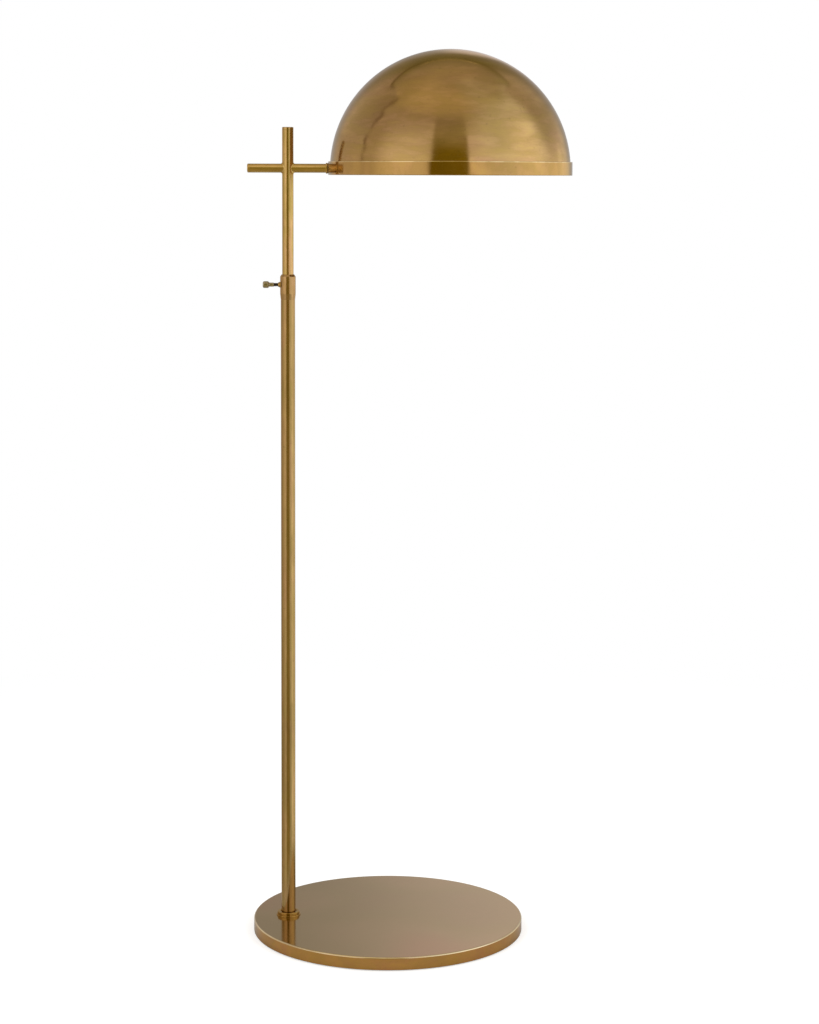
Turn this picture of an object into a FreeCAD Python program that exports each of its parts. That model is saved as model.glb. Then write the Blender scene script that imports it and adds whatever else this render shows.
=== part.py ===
import FreeCAD, Part
import math
import os

# Bridge floor lamp: a weighted round base, an off-centre post, a stem that slides and turns in the post, a
# crossbar brazed through the stem, and a hemispherical shade that tilts on the crossbar's end.
#
# Frame: millimetres, +Z up, +X from the post towards the shade, +Y to the back. The origin is the centre of
# the base's underside, on the floor.

Vector = FreeCAD.Vector
ORIGIN = Vector(0, 0, 0)
UP = Vector(0, 0, 1)
DOWN = Vector(0, 0, -1)
RIGHT = Vector(1, 0, 0)
LEFT = Vector(-1, 0, 0)
BACK = Vector(0, 1, 0)

# ------------------------------------------------------------------ driving dimensions
# Fits
running_fit = 0.05          # radial gap of a piece that turns or slides in another
bolt_clearance = 0.1        # radial gap of a fixed fastener in its hole
face_gap = 0.05             # gap between faces that turn on each other

# Base: felt, iron weight and brass cover
base_diameter = 305.0
base_height = 15.0          # floor to the cover's top face
cover_lift = 1.0            # floor to the cover's lower edge
cover_wall = 1.5
cover_chamfer = 1.2
felt_thickness = 2.0
felt_inset = 2.0            # felt's edge inside the weight's edge
weight_gap = 0.3            # weight's edge to the cover's skirt
post_inset = 39.0           # post's axis from the base's edge
pocket_diameter = 32.0      # under the post, for the tie nut
pocket_depth = 7.5
groove_width = 8.0          # cord groove in the weight's underside
groove_depth = 8.0

# Cord gland in the rear of the base's skirt
gland_height = 7.5          # gland's axis above the floor
gland_bore = 6.4
gland_wall = 1.2
gland_rim = 1.2             # how far the gland's head stands past its barrel, all round
gland_head_thickness = 1.5
gland_length = 9.0          # barrel, from the skirt's outer face inwards

# Tie: the hollow threaded rod that pulls the post down onto the base
tie_diameter = 10.0
tie_bore = 7.0
tie_grip = 18.0             # thread held in the post's foot plug
tie_spare = 1.0             # thread below the nut
tie_nut_flats = 16.0
tie_nut_height = 3.6
tie_washer_diameter = 22.0
tie_washer_thickness = 1.4

# Foot of the post
foot_flange_diameter = 27.3
foot_flange_height = 1.2
foot_collar_diameter = 25.0
foot_collar_height = 3.2
foot_recess_width = 1.3     # groove between collar and post
foot_recess_depth = 1.0
foot_round = 0.4            # bevel of both rings' upper edges
foot_plug_length = 30.0

# Post: the lower, fixed tube
post_diameter = 16.0
post_wall = 1.0
post_height = 746.0         # floor to the post's top

# Sleeve, liner and thumb screw at the post's top
sleeve_wall = 0.7
sleeve_length = 21.6        # straight part
sleeve_taper = 6.8          # tapered part below it
sleeve_lip = 2.4            # thickness of the lip over the post's end
sleeve_shoulder = 1.6       # width of the sloped edge round the lip, as high as the lip
liner_length = 40.0
screw_drop = 11.5           # thumb screw's axis below the post's top
screw_diameter = 4.0
screw_grip = 7.0            # screw's length inside the knob
pad_thickness = 1.0         # pad at the screw's tip
pad_inset = 0.5             # pad's edge inside the screw's edge
boss_foot_diameter = 9.5
boss_tip_diameter = 5.0
boss_length = 2.2
neck_length = 4.9           # bare thread between boss and knob
knob_length = 12.3
knob_neck_diameter = 4.6
knob_head_diameter = 7.6
knob_head_length = 6.3      # cylindrical head with its rounded end
knob_flare = 1.2            # sloped step from the knob's neck to its head
knob_round = 1.6

# Stem: the upper, moving tube
stem_diameter = 12.7
stem_wall = 1.0
travel_up = 230.0           # from the photographed height to the upper stop
stop_collar_length = 5.0
stop_collar_gap = 0.2       # radial gap between stop collar and post
glide_length = 15.0
clip_thickness = 0.8
clip_depth = 0.35           # depth of the clip's groove in the stem
clip_margin = 1.6           # stem below the clip
grommet_lip = 1.2
grommet_depth = 5.0
grommet_wall = 1.9
stem_rise = 45.6            # stem's top above the crossbar's axis
stem_cap_height = 3.0
stem_cap_chamfer = 0.7
cap_plug_length = 8.0       # hidden plug of the stem's and crossbar's caps

# Crossbar and its end
arm_height = 864.4          # crossbar's axis above the floor
arm_tail = 45.2             # crossbar's free end from the stem's axis
arm_reach = 45.0            # shade's band from the stem's axis
bar_diameter = 10.0
bar_wall = 1.0
bar_cap_length = 3.0
bar_cap_round = 1.2
wire_hole_diameter = 6.0    # in the crossbar's underside, inside the stem
braze_size = 2.4            # radius of the brazed fillet where crossbar and stem cross
flange_rim = 1.0            # how far the arm's flange stands past the crossbar, all round
flange_thickness = 2.0
friction_washer_thickness = 0.5

# Pivot that the shade tilts on
spindle_bore = 5.2
spindle_grip = 16.0         # spindle's length inside the crossbar
spindle_spare = 1.5         # thread past the nut
saddle_diameter = 13.0
saddle_thickness = 1.6
spring_diameter = 12.0      # coned spring washer
spring_thickness = 0.5
spring_height = 1.0
pivot_nut_flats = 11.0
pivot_nut_height = 4.0

# Shade: spun hemisphere with a straight skirt, and a band round its rim
shade_radius = 134.0
shade_wall = 1.0
skirt_height = 5.7          # rim to the hemisphere's centre
rim_drop = 7.4              # crossbar's axis to the shade's rim
band_thickness = 2.0
band_height = 15.0
band_round = 0.7

# Bracket that carries the lampholder inside the shade
bracket_thickness = 1.5
bracket_width = 16.0
bracket_foot_drop = 6.4     # foot's lower edge below the crossbar's axis
bracket_shelf_rise = 7.5    # shelf's underside above the crossbar's axis
bracket_reach = 21.7        # foot to upright
bracket_head = 11.0         # upright above the lampholder's axis
bracket_bend = 1.0          # inner radius of its bends
holder_rise = 35.6          # lampholder's axis above the crossbar's axis

# Lampholder: distances along its axis count from the bracket's upright
holder_nipple_diameter = 9.7
holder_nipple_bore = 6.6
holder_nipple_grip = 7.0
holder_nut_flats = 14.0
holder_nut_height = 3.0
holder_hub_diameter = 17.0
holder_hub_length = 5.0
holder_cap_length = 17.0
holder_cap_cone = 6.0       # length of the cap's flare
holder_metal = 0.8          # wall of cap and shell
holder_shell_radius = 16.4
holder_shell_length = 38.0
holder_lap = 3.0            # shell inside the cap
holder_bead = 0.6           # rolled bead at the shell's mouth
lining_thickness = 0.6      # insulating sleeve inside the shell
lining_gap = 0.1
core_length = 14.5
screw_shell_radius = 14.3
screw_shell_wall = 0.6
screw_shell_length = 21.0
contact_width = 5.0
contact_length = 9.0
contact_strip = 0.6
contact_height = 2.2

# Switch key on the lampholder's underside
key_station = 21.0          # along the lampholder's axis
key_shaft_diameter = 4.0
key_shaft_seat = 6.0        # shaft inside the lampholder's core
key_shaft_free = 5.0        # shaft outside the shell
key_paddle_width = 14.0
key_paddle_height = 12.0
key_paddle_thickness = 3.4

# Bulb
bulb_radius = 30.0
bulb_length = 108.0
bulb_glass_wall = 0.8
bulb_tip_radius = 9.0
bulb_tip_height = 3.2
bulb_cap_radius = 13.2
bulb_cap_wall = 0.6
bulb_cap_length = 23.0
bulb_neck_depth = 6.0       # glass inside the cap

# ------------------------------------------------------------------ places worked out from them
base_radius = base_diameter / 2
weight_radius = base_radius - cover_wall - weight_gap
weight_top = base_height - cover_wall
post_x = post_inset - base_radius
post_radius = post_diameter / 2
post_bore = post_radius - post_wall
post_foot = Vector(post_x, 0, base_height)
post_lip_z = post_height - sleeve_lip
liner_bottom = post_lip_z - liner_length
sleeve_radius = post_radius + sleeve_wall
screw_z = post_height - screw_drop
screw_radius = screw_diameter / 2

stem_radius = stem_diameter / 2
stem_bore = stem_radius - stem_wall
stop_collar_top = liner_bottom - travel_up
glide_top = stop_collar_top - stop_collar_length
clip_top = glide_top - glide_length
stem_bottom = clip_top - clip_thickness - clip_margin
stem_top = arm_height + stem_rise
bar_radius = bar_diameter / 2
bar_bore = bar_radius - bar_wall

band_radius = shade_radius + band_thickness
band_face_x = post_x + arm_reach
shade_x = band_face_x + band_radius
rim_z = arm_height - rim_drop
shade_inner_radius = shade_radius - shade_wall
shade_centre = Vector(shade_x, 0, rim_z + skirt_height)
friction_washer_x = band_face_x - face_gap - friction_washer_thickness
flange_x = friction_washer_x - flange_thickness
bar_end_x = friction_washer_x
saddle_x = shade_x - shade_inner_radius + saddle_thickness
spring_x = saddle_x + bracket_thickness + face_gap
pivot_nut_x = spring_x + spring_height
spindle_end_x = pivot_nut_x + pivot_nut_height + spindle_spare
upright_x = saddle_x + bracket_thickness + bracket_reach
holder_z = arm_height + holder_rise
holder_foot = Vector(upright_x, 0, holder_z)


# ------------------------------------------------------------------ shape helpers
def along(foot, axis, distance):
    """The point at this distance from foot along the unit vector axis."""
    return foot + axis * distance


def rod(radius, foot, axis, length):
    """Solid cylinder from foot, length along axis."""
    return Part.makeCylinder(radius, length, foot, axis)


def tube(outer, inner, foot, axis, length):
    """Straight round tube between two radii."""
    return rod(outer, foot, axis, length).cut(rod(inner, foot, axis, length))


def turned(profile, foot, axis):
    """Solid of revolution about axis through foot. Each profile entry is (distance along axis, radius), or
    (distance, radius, through distance, through radius) for a corner that an arc reaches through a point.
    The outline closes with a straight line."""
    edges = []
    for last, corner in zip(profile[-1:] + profile[:-1], profile):
        start, end = Vector(last[1], 0, last[0]), Vector(corner[1], 0, corner[0])
        if start.distanceToPoint(end) < 1e-9:
            continue
        if len(corner) == 4:
            edges.append(Part.Arc(start, Vector(corner[3], 0, corner[2]), end).toShape())
        else:
            edges.append(Part.LineSegment(start, end).toShape())
    solid = Part.Face(Part.Wire(edges)).revolve(ORIGIN, UP, 360)
    solid.Placement = FreeCAD.Placement(foot, FreeCAD.Rotation(UP, axis))
    return solid


def hexagon(flats, foot, axis, height, bore):
    """Hexagonal nut with chamfered corners and a round bore."""
    corner = flats / math.sqrt(3)
    ring = [Vector(corner * math.cos(math.radians(60 * k)), corner * math.sin(math.radians(60 * k)), 0)
            for k in range(7)]
    prism = Part.Face(Part.makePolygon(ring)).extrude(UP * height)
    slope = corner - flats / 2
    blank = turned([(0, 0), (0, flats / 2), (slope / 2, corner), (height - slope / 2, corner),
                    (height, flats / 2), (height, 0)], ORIGIN, UP)
    nut = prism.common(blank).cut(rod(bore, ORIGIN, UP, height))
    nut.Placement = FreeCAD.Placement(foot, FreeCAD.Rotation(UP, axis))
    return nut


def block(low, high):
    """Box between two corners."""
    size = high - low
    return Part.makeBox(size.x, size.y, size.z, low)


# ------------------------------------------------------------------ base
def felt_pad():
    """Felt disc glued under the weight, standing a little lower than the cover."""
    return rod(weight_radius - felt_inset, ORIGIN, UP, felt_thickness)


def tie_hole(foot, height):
    """Clearance hole for the tie, up the post's axis."""
    return rod(tie_diameter / 2 + bolt_clearance, foot, UP, height)


def weight_plate():
    """Cast iron disc with the tie's hole, the nut's pocket and the cord's groove in its underside."""
    foot = Vector(0, 0, felt_thickness)
    plate = rod(weight_radius, foot, UP, weight_top - felt_thickness)
    pocket = rod(pocket_diameter / 2, Vector(post_x, 0, felt_thickness), UP, pocket_depth)
    half, roof = groove_width / 2, felt_thickness + groove_depth
    across = block(Vector(post_x, -half, felt_thickness), Vector(half, half, roof))
    rearward = block(Vector(-half, -half, felt_thickness), Vector(half, base_radius, roof))
    seat = rod(gland_bore / 2 + gland_wall + bolt_clearance, Vector(0, base_radius - gland_length, gland_height),
               BACK, gland_length)
    return plate.cut([pocket, across, rearward, seat, tie_hole(Vector(post_x, 0, 0), base_height)])


def base_cover():
    """Brass pan over the weight: flat top, chamfered edge and upright skirt."""
    inner = base_radius - cover_wall
    pan = turned([(cover_lift, inner), (cover_lift, base_radius), (base_height - cover_chamfer, base_radius),
                  (base_height, base_radius - cover_chamfer), (base_height, 0), (weight_top, 0),
                  (weight_top, inner)], ORIGIN, UP)
    gland_hole = rod(gland_bore / 2 + gland_wall, Vector(0, inner - cover_wall, gland_height), BACK, 3 * cover_wall)
    return pan.cut([gland_hole, tie_hole(Vector(post_x, 0, 0), base_height)])


def cord_gland():
    """Headed bush that guards the cord's way out of the skirt."""
    bore, barrel = gland_bore / 2, gland_bore / 2 + gland_wall
    head = barrel + gland_rim
    edge = gland_head_thickness
    return turned([(-gland_length, bore), (-gland_length, barrel), (0, barrel), (0, head),
                   (edge / 2, head), (edge, head - edge / 2), (edge, bore + edge / 2), (edge / 2, bore)],
                  Vector(0, base_radius, gland_height), BACK)


# ------------------------------------------------------------------ tie and foot of the post
tie_washer_z = felt_thickness + pocket_depth - tie_washer_thickness
tie_nut_z = tie_washer_z - tie_nut_height
tie_bottom = tie_nut_z - tie_spare


def tie_rod():
    """Hollow threaded rod from the nut up into the post's foot plug."""
    return tube(tie_diameter / 2, tie_bore / 2, Vector(post_x, 0, tie_bottom), UP,
                base_height + tie_grip - tie_bottom)


def tie_washer():
    return tube(tie_washer_diameter / 2, tie_diameter / 2, Vector(post_x, 0, tie_washer_z), UP,
                tie_washer_thickness)


def tie_nut():
    return hexagon(tie_nut_flats, Vector(post_x, 0, tie_nut_z), UP, tie_nut_height, tie_diameter / 2)


def foot_plug():
    """Plug brazed into the post's foot: threaded for the tie, then open for the cord."""
    return turned([(0, tie_diameter / 2), (0, post_bore), (foot_plug_length, post_bore),
                   (foot_plug_length, tie_bore / 2), (tie_grip, tie_bore / 2), (tie_grip, tie_diameter / 2)],
                  post_foot, UP)


def foot_flange():
    """Lower ring round the post's foot."""
    outer = foot_flange_diameter / 2
    return turned([(0, post_radius), (0, outer), (foot_flange_height - foot_round, outer),
                   (foot_flange_height, outer - foot_round), (foot_flange_height, post_radius)], post_foot, UP)


def foot_collar():
    """Upper ring, recessed round the post."""
    outer, top = foot_collar_diameter / 2, foot_collar_height
    lip = post_radius + foot_recess_width
    return turned([(0, post_radius), (0, outer), (top - foot_round, outer), (top, outer - foot_round),
                   (top, lip), (top - foot_recess_depth, lip), (top - foot_recess_depth, post_radius)],
                  along(post_foot, UP, foot_flange_height), UP)


# ------------------------------------------------------------------ post, sleeve and thumb screw
def screw_hole():
    """Clearance for the thumb screw through sleeve, post and liner, on the left side only."""
    return rod(screw_radius + bolt_clearance, Vector(post_x, 0, screw_z), LEFT, sleeve_radius + boss_length)


def post_tube():
    length = post_lip_z - base_height
    return tube(post_radius, post_bore, post_foot, UP, length).cut(screw_hole())


def top_sleeve():
    """Collar round the post's top, tapered below, with a sloped lip over the post's end."""
    taper_bottom = -(sleeve_length + sleeve_taper)
    bore = stem_radius + running_fit
    sleeve = turned([(taper_bottom, post_radius), (-sleeve_length, sleeve_radius),
                     (-sleeve_lip, sleeve_radius), (0, sleeve_radius - sleeve_shoulder), (0, bore),
                     (-sleeve_lip, bore), (-sleeve_lip, post_radius)], Vector(post_x, 0, post_height), UP)
    return sleeve.cut(screw_hole())


def liner():
    """Nylon lining of the post's top, in which the stem slides and turns."""
    return tube(post_bore, stem_radius + running_fit, Vector(post_x, 0, liner_bottom), UP,
                liner_length).cut(screw_hole())


boss_tip = sleeve_radius + boss_length
knob_start = boss_tip + neck_length
pad_start = stem_radius + running_fit


def screw_axis(distance):
    """Point on the thumb screw's axis at this distance from the post's axis."""
    return Vector(post_x - distance, 0, screw_z)


def screw_boss():
    """Cone brazed to the sleeve and threaded for the thumb screw."""
    cone = turned([(0, 0), (0, boss_foot_diameter / 2), (sleeve_radius, boss_foot_diameter / 2),
                   (boss_tip, boss_tip_diameter / 2), (boss_tip, 0)], screw_axis(0), LEFT)
    thread = rod(screw_radius + running_fit, screw_axis(0), LEFT, boss_tip)
    body = rod(sleeve_radius, Vector(post_x, 0, liner_bottom), UP, post_height - liner_bottom)
    return cone.cut([thread, body])


def screw_pad():
    """Nylon pad between the screw's tip and the stem."""
    return rod(screw_radius - pad_inset, screw_axis(pad_start), LEFT, pad_thickness)


def lock_screw():
    tip = pad_start + pad_thickness
    return rod(screw_radius, screw_axis(tip), LEFT, knob_start + screw_grip - tip)


def lock_knob():
    """Knob on the screw's outer end: a straight neck that steps out to a rounded head."""
    neck, head = knob_neck_diameter / 2, knob_head_diameter / 2
    shoulder = knob_length - knob_head_length
    bend = knob_round * (1 - math.sqrt(0.5))
    return turned([(0, screw_radius), (0, neck), (shoulder - knob_flare, neck), (shoulder, head),
                   (knob_length - knob_round, head),
                   (knob_length, head - knob_round, knob_length - bend, head - bend), (knob_length, 0),
                   (screw_grip, 0), (screw_grip, screw_radius)], screw_axis(knob_start), LEFT)


# ------------------------------------------------------------------ stem and what runs in the post
def stem_at(z):
    """Point on the stem's axis."""
    return Vector(post_x, 0, z)


def bar_cylinder(radius):
    """Round solid along the crossbar's axis, from its free end to the shade's face."""
    return rod(radius, Vector(post_x - arm_tail, 0, arm_height), RIGHT, bar_end_x - post_x + arm_tail)


def stem_tube():
    """Upper tube, holed for the crossbar and grooved for the clip."""
    length = stem_top - stem_cap_height - stem_bottom
    groove = tube(stem_radius, stem_radius - clip_depth, stem_at(clip_top), DOWN, clip_thickness)
    return tube(stem_radius, stem_bore, stem_at(stem_bottom), UP, length).cut([bar_cylinder(bar_radius), groove])


def stem_cap():
    """Plug in the stem's top with a chamfered head of the stem's own width."""
    neck = stem_top - stem_cap_height
    return turned([(-cap_plug_length, 0), (-cap_plug_length, stem_bore), (0, stem_bore), (0, stem_radius),
                   (stem_cap_height - stem_cap_chamfer, stem_radius),
                   (stem_cap_height, stem_radius - stem_cap_chamfer), (stem_cap_height, 0)], stem_at(neck), UP)


def stop_collar():
    """Ring on the stem that meets the liner when the stem is fully up."""
    return tube(post_bore - stop_collar_gap, stem_radius, stem_at(stop_collar_top), DOWN, stop_collar_length)


def glide_bush():
    """Nylon bush that guides the stem's lower end and lets it turn."""
    return tube(post_bore - running_fit, stem_radius + running_fit, stem_at(glide_top - face_gap), DOWN,
                glide_length - 2 * face_gap)


def glide_clip():
    """Open snap ring below the glide bush."""
    ring = tube(post_bore - stop_collar_gap, stem_radius - clip_depth, stem_at(clip_top), DOWN, clip_thickness)
    gap = block(Vector(post_x, -stem_wall, clip_top - clip_thickness), Vector(post_x + post_bore, stem_wall, clip_top))
    return ring.cut(gap)


def stem_grommet():
    """Rubber grommet that guards the cord at the stem's lower end."""
    return turned([(-grommet_lip, stem_bore - grommet_wall), (-grommet_lip, stem_radius), (0, stem_radius),
                   (0, stem_bore), (grommet_depth, stem_bore), (grommet_depth, stem_bore - grommet_wall)],
                  stem_at(stem_bottom), UP)


# ------------------------------------------------------------------ crossbar
def braze_rings():
    """Filler metal rounding the corner where the crossbar leaves the stem on each side."""
    stem = rod(stem_radius, stem_at(arm_height - stem_diameter), UP, 2 * stem_diameter)
    bar = bar_cylinder(bar_radius)
    cross = stem.fuse(bar).removeSplitter()
    seams = [edge for edge in cross.Edges if isinstance(edge.Curve, Part.BSplineCurve)]
    return cross.makeFillet(braze_size, seams).cut([stem, bar]).Solids


def crossbar():
    """Hollow bar through the stem, with its brazing, and a hole for the cord in its underside in the stem."""
    length = bar_end_x - post_x + arm_tail - bar_cap_length
    start = Vector(post_x - arm_tail + bar_cap_length, 0, arm_height)
    bar = tube(bar_radius, bar_bore, start, RIGHT, length).fuse(braze_rings()).removeSplitter()
    return bar.cut(rod(wire_hole_diameter / 2, stem_at(arm_height), DOWN, bar_radius))


def crossbar_cap():
    """Round-edged plug in the crossbar's free end."""
    bend = bar_cap_round * (1 - math.sqrt(0.5))
    return turned([(-cap_plug_length, 0), (-cap_plug_length, bar_bore), (0, bar_bore), (0, bar_radius),
                   (bar_cap_length - bar_cap_round, bar_radius),
                   (bar_cap_length, bar_radius - bar_cap_round, bar_cap_length - bend, bar_radius - bend),
                   (bar_cap_length, 0)], Vector(post_x - arm_tail + bar_cap_length, 0, arm_height), LEFT)


def arm_flange():
    """Thin ring round the crossbar's end, against the shade."""
    return tube(bar_radius + flange_rim, bar_radius, Vector(flange_x, 0, arm_height), RIGHT, flange_thickness)


def friction_washer():
    """Fibre washer between the arm's flange and the shade's band."""
    return tube(bar_radius + flange_rim / 2, bar_bore, Vector(friction_washer_x, 0, arm_height), RIGHT,
                friction_washer_thickness)


# ------------------------------------------------------------------ pivot
def pivot_hole():
    """Running hole for the spindle through everything that tilts with the shade."""
    return rod(bar_bore + running_fit, Vector(band_face_x - band_thickness, 0, arm_height), RIGHT,
               pivot_nut_x - band_face_x + band_thickness)


def arm_spindle():
    """Hollow threaded spindle fixed in the crossbar's end; the shade tilts on it."""
    return tube(bar_bore, spindle_bore / 2, Vector(bar_end_x - spindle_grip, 0, arm_height), RIGHT,
                spindle_end_x - bar_end_x + spindle_grip)


def spring_washer():
    """Coned washer that keeps the pivot tight."""
    inner, outer = bar_bore, spring_diameter / 2
    return turned([(spring_height - spring_thickness, inner), (0, outer), (spring_thickness, outer),
                   (spring_height, inner)], Vector(spring_x, 0, arm_height), RIGHT)


def pivot_nut():
    return hexagon(pivot_nut_flats, Vector(pivot_nut_x, 0, arm_height), RIGHT, pivot_nut_height, bar_bore)


# ------------------------------------------------------------------ shade
def bell(radius):
    """Solid hemisphere on a straight skirt, down to the shade's rim."""
    slant = radius * math.sqrt(0.5)
    return turned([(-skirt_height, 0), (-skirt_height, radius), (0, radius), (radius, 0, slant, slant)],
                  shade_centre, UP)


def shade_dome():
    return bell(shade_radius).cut([bell(shade_inner_radius), pivot_hole()])


def rim_band():
    """Ring round the shade's rim, bored to the shade's own outside."""
    outer, mid = band_radius, shade_radius - band_thickness
    bend = band_round * (1 - math.sqrt(0.5))
    ring = turned([(0, mid), (0, outer - band_round), (band_round, outer, bend, outer - bend),
                   (band_height - band_round, outer),
                   (band_height, outer - band_round, band_height - bend, outer - bend), (band_height, mid)],
                  Vector(shade_x, 0, rim_z), UP)
    return ring.cut([bell(shade_radius), pivot_hole()])


def saddle_washer():
    """Washer with one flat face and one that fits the shade's curved inside."""
    start = Vector(band_face_x, 0, arm_height)
    return rod(saddle_diameter / 2, start, RIGHT, saddle_x - band_face_x).common(
        bell(shade_inner_radius)).cut(pivot_hole())


# ------------------------------------------------------------------ bracket and lampholder
def holder_bracket():
    """Strip bent twice: a foot on the pivot, a shelf, and an upright that holds the lampholder."""
    thick, half = bracket_thickness, bracket_width / 2
    left, right = saddle_x, upright_x - thick
    low, shelf = arm_height - bracket_foot_drop, arm_height + bracket_shelf_rise
    top = holder_z + bracket_head
    outline = [Vector(left, 0, low), Vector(left + thick, 0, low), Vector(left + thick, 0, shelf),
               Vector(right + thick, 0, shelf), Vector(right + thick, 0, top), Vector(right, 0, top),
               Vector(right, 0, shelf + thick), Vector(left, 0, shelf + thick)]
    strip = Part.Face(Part.makePolygon(outline + outline[:1])).extrude(BACK * bracket_width)
    strip.translate(BACK * -half)

    def bend_edges(corners):
        return [edge for edge in strip.Edges for corner in corners
                if abs(edge.CenterOfMass.x - corner.x) < 0.01 and abs(edge.CenterOfMass.z - corner.z) < 0.01]

    strip = strip.makeFillet(bracket_bend, bend_edges([outline[2], outline[6]]))
    strip = strip.makeFillet(bracket_bend + thick, bend_edges([outline[7], outline[3]]))
    nipple_hole = rod(holder_nipple_diameter / 2, Vector(right, 0, holder_z), RIGHT, thick)
    return strip.cut([nipple_hole, pivot_hole()])


def holder_nipple():
    """Hollow threaded piece that joins the lampholder's cap to the bracket."""
    left = bracket_thickness + holder_nut_height + bolt_clearance * 10
    return tube(holder_nipple_diameter / 2, holder_nipple_bore / 2, along(holder_foot, LEFT, left), RIGHT,
                left + holder_nipple_grip)


def holder_nut():
    foot = along(holder_foot, LEFT, bracket_thickness + holder_nut_height)
    return hexagon(holder_nut_flats, foot, RIGHT, holder_nut_height, holder_nipple_diameter / 2)


def holder_cap():
    """Flared cap, screwed onto the nipple."""
    bore, hub, wide = holder_nipple_diameter / 2, holder_hub_diameter / 2, holder_shell_radius + holder_metal
    flare_end = holder_hub_length + holder_cap_cone
    return turned([(0, bore), (0, hub), (holder_hub_length, hub), (flare_end, wide), (holder_cap_length, wide),
                   (holder_cap_length, holder_shell_radius), (flare_end + holder_metal / 2, holder_shell_radius),
                   (holder_hub_length + holder_metal, bore)], holder_foot, RIGHT)


shell_start = holder_cap_length - holder_lap
shell_end = shell_start + holder_shell_length
lining_radius = holder_shell_radius - holder_metal
core_radius = lining_radius - lining_thickness - lining_gap
core_face = shell_start + core_length
screw_shell_end = core_face + screw_shell_length


def key_hole(radius):
    """Hole for the switch key through shell, lining and core."""
    top = along(holder_foot, RIGHT, key_station)
    return rod(radius, along(top, DOWN, core_radius - key_shaft_seat), DOWN, holder_shell_radius)


def holder_shell():
    """Outer shell with a rolled bead at its mouth."""
    outer, inner, bead = holder_shell_radius, lining_radius, holder_shell_radius + holder_bead
    shell = turned([(shell_start, inner), (shell_start, outer), (shell_end - 4 * holder_bead, outer),
                    (shell_end, outer, shell_end - 2 * holder_bead, bead), (shell_end, inner)], holder_foot, RIGHT)
    return shell.cut(key_hole(key_shaft_diameter / 2 + running_fit))


def holder_lining():
    """Insulating sleeve inside the shell."""
    outer = lining_radius
    return tube(outer, outer - lining_thickness, along(holder_foot, RIGHT, shell_start), RIGHT,
                holder_shell_length - lining_thickness).cut(key_hole(key_shaft_diameter / 2 + running_fit))


def holder_core():
    """Porcelain block that carries the contacts and the switch."""
    return rod(core_radius, along(holder_foot, RIGHT, shell_start), RIGHT, core_length).cut(
        key_hole(key_shaft_diameter / 2 + running_fit))


def screw_shell():
    """Threaded metal shell that the bulb screws into."""
    return tube(screw_shell_radius, screw_shell_radius - screw_shell_wall, along(holder_foot, RIGHT, core_face),
                RIGHT, screw_shell_length)


def centre_contact():
    """Bent strip at the bottom of the screw shell, pressed by the bulb's tip."""
    x, half = upright_x + core_face, contact_width / 2
    foot = block(Vector(x, -half, holder_z - contact_length / 2),
                 Vector(x + contact_strip, half, holder_z + contact_length / 2))
    riser = block(Vector(x, -half, holder_z - contact_strip / 2),
                  Vector(x + contact_height, half, holder_z + contact_strip / 2))
    head = block(Vector(x + contact_height - contact_strip, -half, holder_z - contact_width / 2),
                 Vector(x + contact_height, half, holder_z + contact_width / 2))
    return foot.fuse([riser, head]).removeSplitter()


def switch_key():
    """Turn key: a shaft into the core and a flat rounded paddle below."""
    axis_top = along(along(holder_foot, RIGHT, key_station), DOWN, core_radius - key_shaft_seat)
    length = key_shaft_seat + lining_gap + lining_thickness + holder_metal + key_shaft_free
    seat_gap = face_gap
    shaft = rod(key_shaft_diameter / 2, along(axis_top, DOWN, seat_gap), DOWN, length)
    centre = along(axis_top, DOWN, length + key_paddle_height / 2)
    half = Vector(key_paddle_width / 2, key_paddle_thickness / 2, key_paddle_height / 2)
    paddle = block(centre - half, centre + half)
    upright_edges = [edge for edge in paddle.Edges if abs(edge.tangentAt(edge.FirstParameter).y) > 0.9]
    paddle = paddle.makeFillet(key_paddle_height * 0.45, upright_edges)
    return shaft.fuse(paddle).removeSplitter()


# ------------------------------------------------------------------ bulb
tip_start = core_face + contact_height
cap_start = tip_start + bulb_tip_height - bulb_cap_wall
cap_end = cap_start + bulb_cap_length
globe_centre = tip_start + bulb_length - bulb_radius


def bulb_tip():
    """Insulated contact at the bulb's end."""
    narrow = bulb_tip_radius / 2
    return turned([(tip_start, 0), (tip_start, narrow), (cap_start, bulb_tip_radius),
                   (cap_start + bulb_cap_wall, bulb_tip_radius), (cap_start + bulb_cap_wall, 0)], holder_foot, RIGHT)


def bulb_cap():
    """Threaded metal cap of the bulb."""
    wide, thin = bulb_cap_radius, bulb_cap_wall
    slope = wide - bulb_tip_radius
    return turned([(cap_start, bulb_tip_radius), (cap_start + slope / 2, wide), (cap_end, wide),
                   (cap_end, wide - thin), (cap_start + slope / 2 + thin, wide - thin),
                   (cap_start + thin, bulb_tip_radius)], holder_foot, RIGHT)


def tangent_point(mouth, neck, radius):
    """Where a straight line from (mouth, neck) touches the globe of this radius, as (distance, radius)."""
    run = globe_centre - mouth
    reach = math.hypot(run, neck)
    angle = math.asin(radius / reach) - math.atan2(neck, run)
    length = math.sqrt(reach * reach - radius * radius)
    return mouth + length * math.cos(angle), neck + length * math.sin(angle)


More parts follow.
